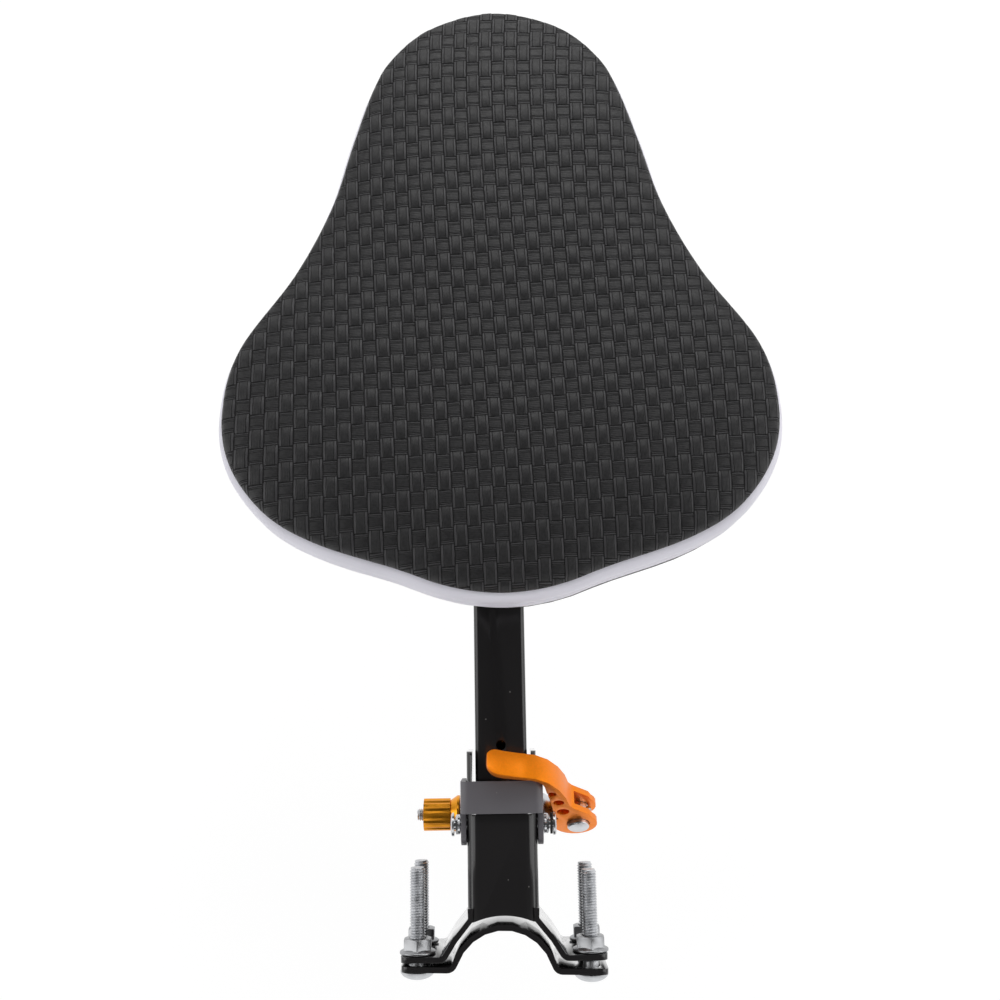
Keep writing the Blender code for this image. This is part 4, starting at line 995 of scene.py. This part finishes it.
def on_clamp(kind):
    """Each of the clamp's four pieces of a kind: its node, its box's corners and its place."""
    for side in ("left", "right"):
        for row in ("lower", "upper"):
            node = f"{kind}_{side}_{row}"
            low, high = local_box(node, CLAMP)
            x, z = (low[0] + high[0]) / 2, (low[2] + high[2]) / 2
            yield node, low, high, CLAMP @ Matrix.Translation((x, 0, z)) @ ALONG_Y


def build_clamp_bolts(settings):
    """Carriage bolts: a domed head, a plain neck and a thread up to the tip."""
    for node, low, high, place in on_clamp("clamp_bolt"):
        radius = (high[0] - low[0]) / 2
        seat = low[1] + HEAD_HEIGHT
        neck_end = seat + NECK_LENGTH
        dome = [
            (radius * math.sin(a), seat - HEAD_HEIGHT * math.cos(a))
            for a in (math.pi / 2 * step / 8 for step in range(9))
        ]
        neck = [(NECK_RADIUS, seat), (NECK_RADIUS, neck_end + 0.0002), (0, neck_end + 0.0002)]
        body = screwed(node, dome + neck)
        rod = threaded(
            "thread", BOLT_DIAMETER, settings.thread_pitch, settings.thread_depth, neck_end, high[1]
        )
        place_piece(joined(f"{node}_threaded", [body, rod]), place, node, "thread")


def hexagon_nut(name, flats, low, high, bore, chamfered_low=False):
    """A hexagon along z, its corners turned off, with a round bore."""
    corner = flats / 2 / math.cos(math.pi / 6)
    face = flats / 2 * 0.97
    deselect_all()
    bpy.ops.mesh.primitive_cylinder_add(
        vertices=6, radius=corner, depth=high - low, location=(0, 0, (low + high) / 2)
    )
    nut = settle(added(name))
    drop = (corner - face) * math.tan(math.radians(30))
    foot = low if chamfered_low else low - 0.001
    profile = [
        (0, foot), (face if chamfered_low else corner * 1.1, foot),
        (corner * 1.1, low + drop), (corner * 1.1, high - drop * 1.3), (face, high), (0, high),
    ]
    cut(nut, screwed("turned_off", profile, steps=36), "INTERSECT")
    deselect_all()
    bpy.ops.mesh.primitive_cylinder_add(vertices=32, radius=bore / 2, depth=0.05)
    cut(nut, settle(added("bore")))
    return nut


def build_flange_nuts():
    for node, low, high, place in on_clamp("flange_nut"):
        foot = low[1]
        nut = hexagon_nut(f"{node}_turned", FLANGE_NUT_FLATS, foot + 0.0004, high[1], FLANGE_NUT_BORE)
        flange = screwed("flange", [
            (0.00318, foot), (0.00668, foot), (0.00675, foot + 0.0003), (0.00675, foot + 0.0006),
            (0.00655, foot + 0.0009), (0.0052, foot + 0.0015), (0.0046, foot + 0.0020),
            (0.00318, foot + 0.0020), (0.00318, foot),
        ], steps=40)
        cut(nut, flange, "UNION")
        settle(nut, place)
        round_edges(nut, 0.00012, 1, 40)
        # The flange nuts take the zinc darkened by painted shade
        place_piece(nut, Matrix.Identity(4), node, "nut")


def toothed_ring(name, outer, inner, low, high, teeth):
    """A thin washer along z with teeth round its edge."""
    ring = screwed(name, [
        (inner / 2, low), (outer / 2, low), (outer / 2, high), (inner / 2, high), (inner / 2, low),
    ], steps=teeth * 4)
    for vert in ring.data.vertices:
        reach = math.hypot(vert.co.x, vert.co.y)
        if reach > (outer + inner) / 4:
            around = math.atan2(vert.co.y, vert.co.x)
            scale = 1 - 0.075 * (math.cos(around * teeth) < -0.3)
            vert.co.x *= scale
            vert.co.y *= scale
    return ring


def cross_recess(screw, top):
    """Cuts a cross into a screw's head, turned a little."""
    for turn in (20, 110):
        deselect_all()
        bpy.ops.mesh.primitive_cube_add(size=1, location=(0, 0, top))
        blade = added("blade")
        blade.scale = (0.0042, 0.0008, 0.0012)
        blade.rotation_euler.z = math.radians(turn)
        cut(screw, settle(blade))


def build_side_screws():
    """The side screws with their toothed nuts and cross recesses."""
    for side, sign in (("left", -1), ("right", 1)):
        node = f"side_screw_{side}"
        low, high = local_box(node, CLAMP)
        centre = (0, (low[1] + high[1]) / 2, (low[2] + high[2]) / 2)
        place = CLAMP @ Matrix.Translation(centre) @ Matrix.Rotation(math.radians(90 * sign), 4, "Y")
        low, high = local_box(node, place)
        foot, top = low[2], high[2]
        shank = [(0, foot), (SIDE_SCREW_RADIUS, foot), (SIDE_SCREW_RADIUS, top - 0.0012)]
        head = [(0.0044, -0.0012), (0.0044, -0.0005), (0.0041, -0.0002), (0.0032, 0.0), (0, 0.0)]
        screw = screwed(f"{node}_turned", shank + [(radius, top + drop) for radius, drop in head])
        cross_recess(screw, top)
        place_piece(screw, place, node)

        node = f"side_nut_{side}"
        low, high = local_box(node, place)
        foot, top = low[2], high[2]
        nut = hexagon_nut("hexagon", SIDE_NUT_FLATS, foot, top - 0.0003, SIDE_NUT_BORE, True)
        teeth = toothed_ring("teeth", 0.0074, SIDE_NUT_BORE, foot + 0.0002, foot + 0.0010, 14)
        place_piece(joined(f"{node}_turned", [nut, teeth]), place, node, shading=35)
    repaint("side_washer_right", "black_rubber")


# Quick release

def build_quick_release():
    """The rod with its threaded end, the pin, the washers, the thumb nut and the cam lever."""
    along = SKEWER @ ALONG_X
    low, high = local_box("skewer_rod", along)
    radius, tip, top = ROD_DIAMETER / 2, low[2] + ROD_THREAD_LENGTH, high[2]
    core = screwed("core", [
        (0, low[2] + 0.012), (0.00235, low[2] + 0.012), (radius, tip), (radius, top - 0.0007),
        (0.0021, top - 0.0002), (0.0012, top), (0, top),
    ])
    thread = threaded("thread", ROD_DIAMETER, ROD_PITCH, ROD_THREAD_DEPTH, 0.0, ROD_THREAD_LENGTH)
    settle(thread, Matrix.Translation((0, 0, tip)) @ Matrix.Rotation(math.pi, 4, "X"))
    place_piece(joined("skewer_rod_threaded", [core, thread]), along, "skewer_rod")

    low, high = local_box("cup_washer", along)
    radius, foot, top = (high[0] - low[0]) / 2, low[2], high[2]
    bore = 0.0027
    cup = screwed("cup_washer_turned", [
        (bore, foot), (radius - 0.0002, foot), (radius, foot + 0.0002), (radius, foot + 0.0010),
        (radius - 0.0003, foot + 0.0015), (radius - 0.0009, foot + 0.0024), (radius - 0.0017, foot + 0.0033),
        (radius - 0.0027, top - 0.0001), (radius - 0.0032, top), (bore, top), (bore, foot),
    ], steps=48)
    place_piece(cup, along, "cup_washer")

    refine("barrel_pin", "zinc_plate", 0.00015)
    repaint("nut_washer", "zinc_plate")
    refine("thumb_nut", "gold_anodised", 0.00012, limit=30, shading=30)
    refine("cam_lever", "orange_anodised", 0.0004, segments=3, shading=40)


# Stage

SIDE_LEVEL = 0.80
OVERHEAD_LEVEL = 0.06
CAMERA_PLACE = (0.0012, 0.0288, 0.4511)
CAMERA_LEAN = math.radians(20)
CAMERA_ROLL = math.radians(-0.94)

def white_floor(name):
    """Shows white to the camera and to reflections, and keeps a faint shadow. It is clear from below."""
    material = bpy.data.materials.new(name)
    material.use_nodes = True
    tree = material.node_tree
    tree.nodes.clear()
    rays = placed(tree, "ShaderNodeLightPath")
    seen = maths(tree, "MAXIMUM", rays["Is Camera Ray"], rays["Is Glossy Ray"])
    seen = maths(tree, "MAXIMUM", seen, rays["Is Transmission Ray"])
    plain = placed(tree, "ShaderNodeBsdfDiffuse", (0.8, 0.8, 0.8, 1))[0]
    glow = placed(tree, "ShaderNodeEmission", None, 0.90)[0]
    faint = placed(tree, "ShaderNodeBsdfDiffuse", (0.16, 0.16, 0.16, 1))[0]
    shown = placed(tree, "ShaderNodeAddShader", glow, faint)[0]
    above = placed(tree, "ShaderNodeMixShader", seen, plain, shown)[0]
    clear = placed(tree, "ShaderNodeBsdfTransparent")[0]
    below = placed(tree, "ShaderNodeNewGeometry")["Backfacing"]
    placed(tree, "ShaderNodeOutputMaterial", placed(tree, "ShaderNodeMixShader", below, above, clear)[0])
    return material


def white_world():
    """White to the camera; to everything else a studio, pale at the sides and dim overhead."""
    world = bpy.data.worlds.new("studio")
    bpy.context.scene.world = world
    world.use_nodes = True
    tree = world.node_tree
    back = tree.nodes["Background"]
    back.inputs["Color"].default_value = (1, 1, 1, 1)
    direction = placed(tree, "ShaderNodeTexCoord")["Generated"]
    height = placed(tree, "ShaderNodeSeparateXYZ", direction)[2]
    level = faded(tree, height, 0.10, 0.80, SIDE_LEVEL, OVERHEAD_LEVEL)
    strength = maths(tree, "MAXIMUM", level, placed(tree, "ShaderNodeLightPath")["Is Camera Ray"])
    tree.links.new(strength, back.inputs["Strength"])


def area_light(name, place, target, size, power):
    deselect_all()
    bpy.ops.object.light_add(type="AREA", location=place)
    light = bpy.context.object
    light.name = name
    light.data.shape = "RECTANGLE"
    light.data.size, light.data.size_y = size
    light.data.energy = power
    light.rotation_euler = (Vector(target) - Vector(place)).to_track_quat("-Z", "Y").to_euler()


def build_stage(settings):
    low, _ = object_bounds()
    deselect_all()
    bpy.ops.mesh.primitive_plane_add(size=8, location=(0, 0.2, low.z - settings.floor_drop))
    floor = settle(added("studio_floor"))
    floor.data.materials.append(white_floor("studio_white"))
    floor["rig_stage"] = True
    white_world()
    target = (0, 0.19, 0.05)
    area_light("key_light", (0.15, 1.25, 0.95), target, (1.5, 0.9), settings.key)
    area_light("left_light", (-1.2, 0.10, 0.75), target, (0.8, 1.2), settings.fill)
    area_light("right_light", (1.2, 0.05, 0.75), target, (0.8, 1.2), settings.fill)
    area_light("rear_light", (0.0, -1.0, 0.55), target, (1.2, 0.6), settings.fill * 0.3)

    camera_data = bpy.data.cameras.new("camera")
    camera_data.lens = settings.lens
    camera_data.sensor_width = 36
    camera = bpy.data.objects.new("camera", camera_data)
    bpy.context.collection.objects.link(camera)
    turn = Matrix.Rotation(CAMERA_LEAN, 4, "X") @ Matrix.Rotation(CAMERA_ROLL, 4, "Z")
    camera.matrix_world = Matrix.Translation(CAMERA_PLACE) @ turn
    bpy.context.scene.camera = camera
    bpy.context.scene.view_settings.view_transform = "Standard"


# Operators, panel and registration

class SEAT_OT_cushion(bpy.types.Operator):
    """Model the woven cushion"""
    bl_idname = "seat.cushion"
    bl_label = "Cushion"

    def execute(self, context):
        build_cushion(context.scene.seat_cushion)
        return {"FINISHED"}


class SEAT_OT_band(bpy.types.Operator):
    """Model the white side band"""
    bl_idname = "seat.band"
    bl_label = "Side Band"

    def execute(self, context):
        build_band(context.scene.seat_band, context.scene.seat_cushion)
        return {"FINISHED"}


class SEAT_OT_sheets(bpy.types.Operator):
    """Round and paint the bracket, the lower plate and the yoke strap"""
    bl_idname = "seat.sheets"
    bl_label = "Clamp Sheets"

    def execute(self, context):
        build_clamp_sheets(context.scene.seat_metal)
        return {"FINISHED"}


class SEAT_OT_arm(bpy.types.Operator):
    """Finish the arm, the saddle plate, the board and their screws"""
    bl_idname = "seat.arm"
    bl_label = "Arm and Board"

    def execute(self, context):
        build_arm(context.scene.seat_metal)
        return {"FINISHED"}


class SEAT_OT_bolts(bpy.types.Operator):
    """Model the clamp bolts with their threads"""
    bl_idname = "seat.bolts"
    bl_label = "Clamp Bolts"

    def execute(self, context):
        build_clamp_bolts(context.scene.seat_metal)
        return {"FINISHED"}


class SEAT_OT_nuts(bpy.types.Operator):
    """Model the flange nuts"""
    bl_idname = "seat.nuts"
    bl_label = "Flange Nuts"

    def execute(self, context):
        build_flange_nuts()
        return {"FINISHED"}


class SEAT_OT_side_screws(bpy.types.Operator):
    """Model the side screws and their nuts"""
    bl_idname = "seat.side_screws"
    bl_label = "Side Screws"

    def execute(self, context):
        build_side_screws()
        return {"FINISHED"}


class SEAT_OT_quick_release(bpy.types.Operator):
    """Model the quick release"""
    bl_idname = "seat.quick_release"
    bl_label = "Quick Release"

    def execute(self, context):
        build_quick_release()
        return {"FINISHED"}


class SEAT_OT_stage(bpy.types.Operator):
    """Set up the floor, the lights and the camera"""
    bl_idname = "seat.stage"
    bl_label = "Stage"

    def execute(self, context):
        build_stage(context.scene.seat_stage)
        return {"FINISHED"}


class SEAT_PT_panel(bpy.types.Panel):
    """Sizes, colours and steps of the seat"""
    bl_idname = "SEAT_PT_panel"
    bl_label = "Child Bike Seat"
    bl_space_type = "VIEW_3D"
    bl_region_type = "UI"
    bl_category = "Seat"

    def draw(self, context):
        for title, group, operators in PANEL_ROWS:
            box = self.layout.box()
            box.label(text=title)
            settings = getattr(context.scene, group)
            for name in settings.__annotations__:
                box.prop(settings, name)
            for operator in operators:
                box.operator(operator)


PANEL_ROWS = (
    ("Cushion", "seat_cushion", ("seat.cushion",)),
    ("Side Band", "seat_band", ("seat.band",)),
    ("Metal", "seat_metal", (
        "seat.sheets", "seat.arm", "seat.bolts", "seat.nuts", "seat.side_screws", "seat.quick_release",
    )),
    ("Stage", "seat_stage", ("seat.stage",)),
)

SETTINGS = (
    ("seat_cushion", CushionSettings), ("seat_band", BandSettings),
    ("seat_metal", MetalSettings), ("seat_stage", StageSettings),
)

CLASSES = (
    CushionSettings, BandSettings, MetalSettings, StageSettings,
    SEAT_OT_cushion, SEAT_OT_band, SEAT_OT_sheets, SEAT_OT_arm, SEAT_OT_bolts, SEAT_OT_nuts,
    SEAT_OT_side_screws, SEAT_OT_quick_release, SEAT_OT_stage, SEAT_PT_panel,
)


def register():
    for item in CLASSES:
        bpy.utils.register_class(item)
    for name, group in SETTINGS:
        setattr(bpy.types.Scene, name, bpy.props.PointerProperty(type=group))


def unregister():
    for name, _ in SETTINGS:
        delattr(bpy.types.Scene, name)
    for item in reversed(CLASSES):
        bpy.utils.unregister_class(item)


def main():
    register()
    bpy.ops.seat.cushion()
    bpy.ops.seat.band()
    bpy.ops.seat.sheets()
    bpy.ops.seat.arm()
    bpy.ops.seat.bolts()
    bpy.ops.seat.nuts()
    bpy.ops.seat.side_screws()
    bpy.ops.seat.quick_release()
    bpy.ops.seat.stage()
    deselect_all()


if __name__ == "__main__":
    main()
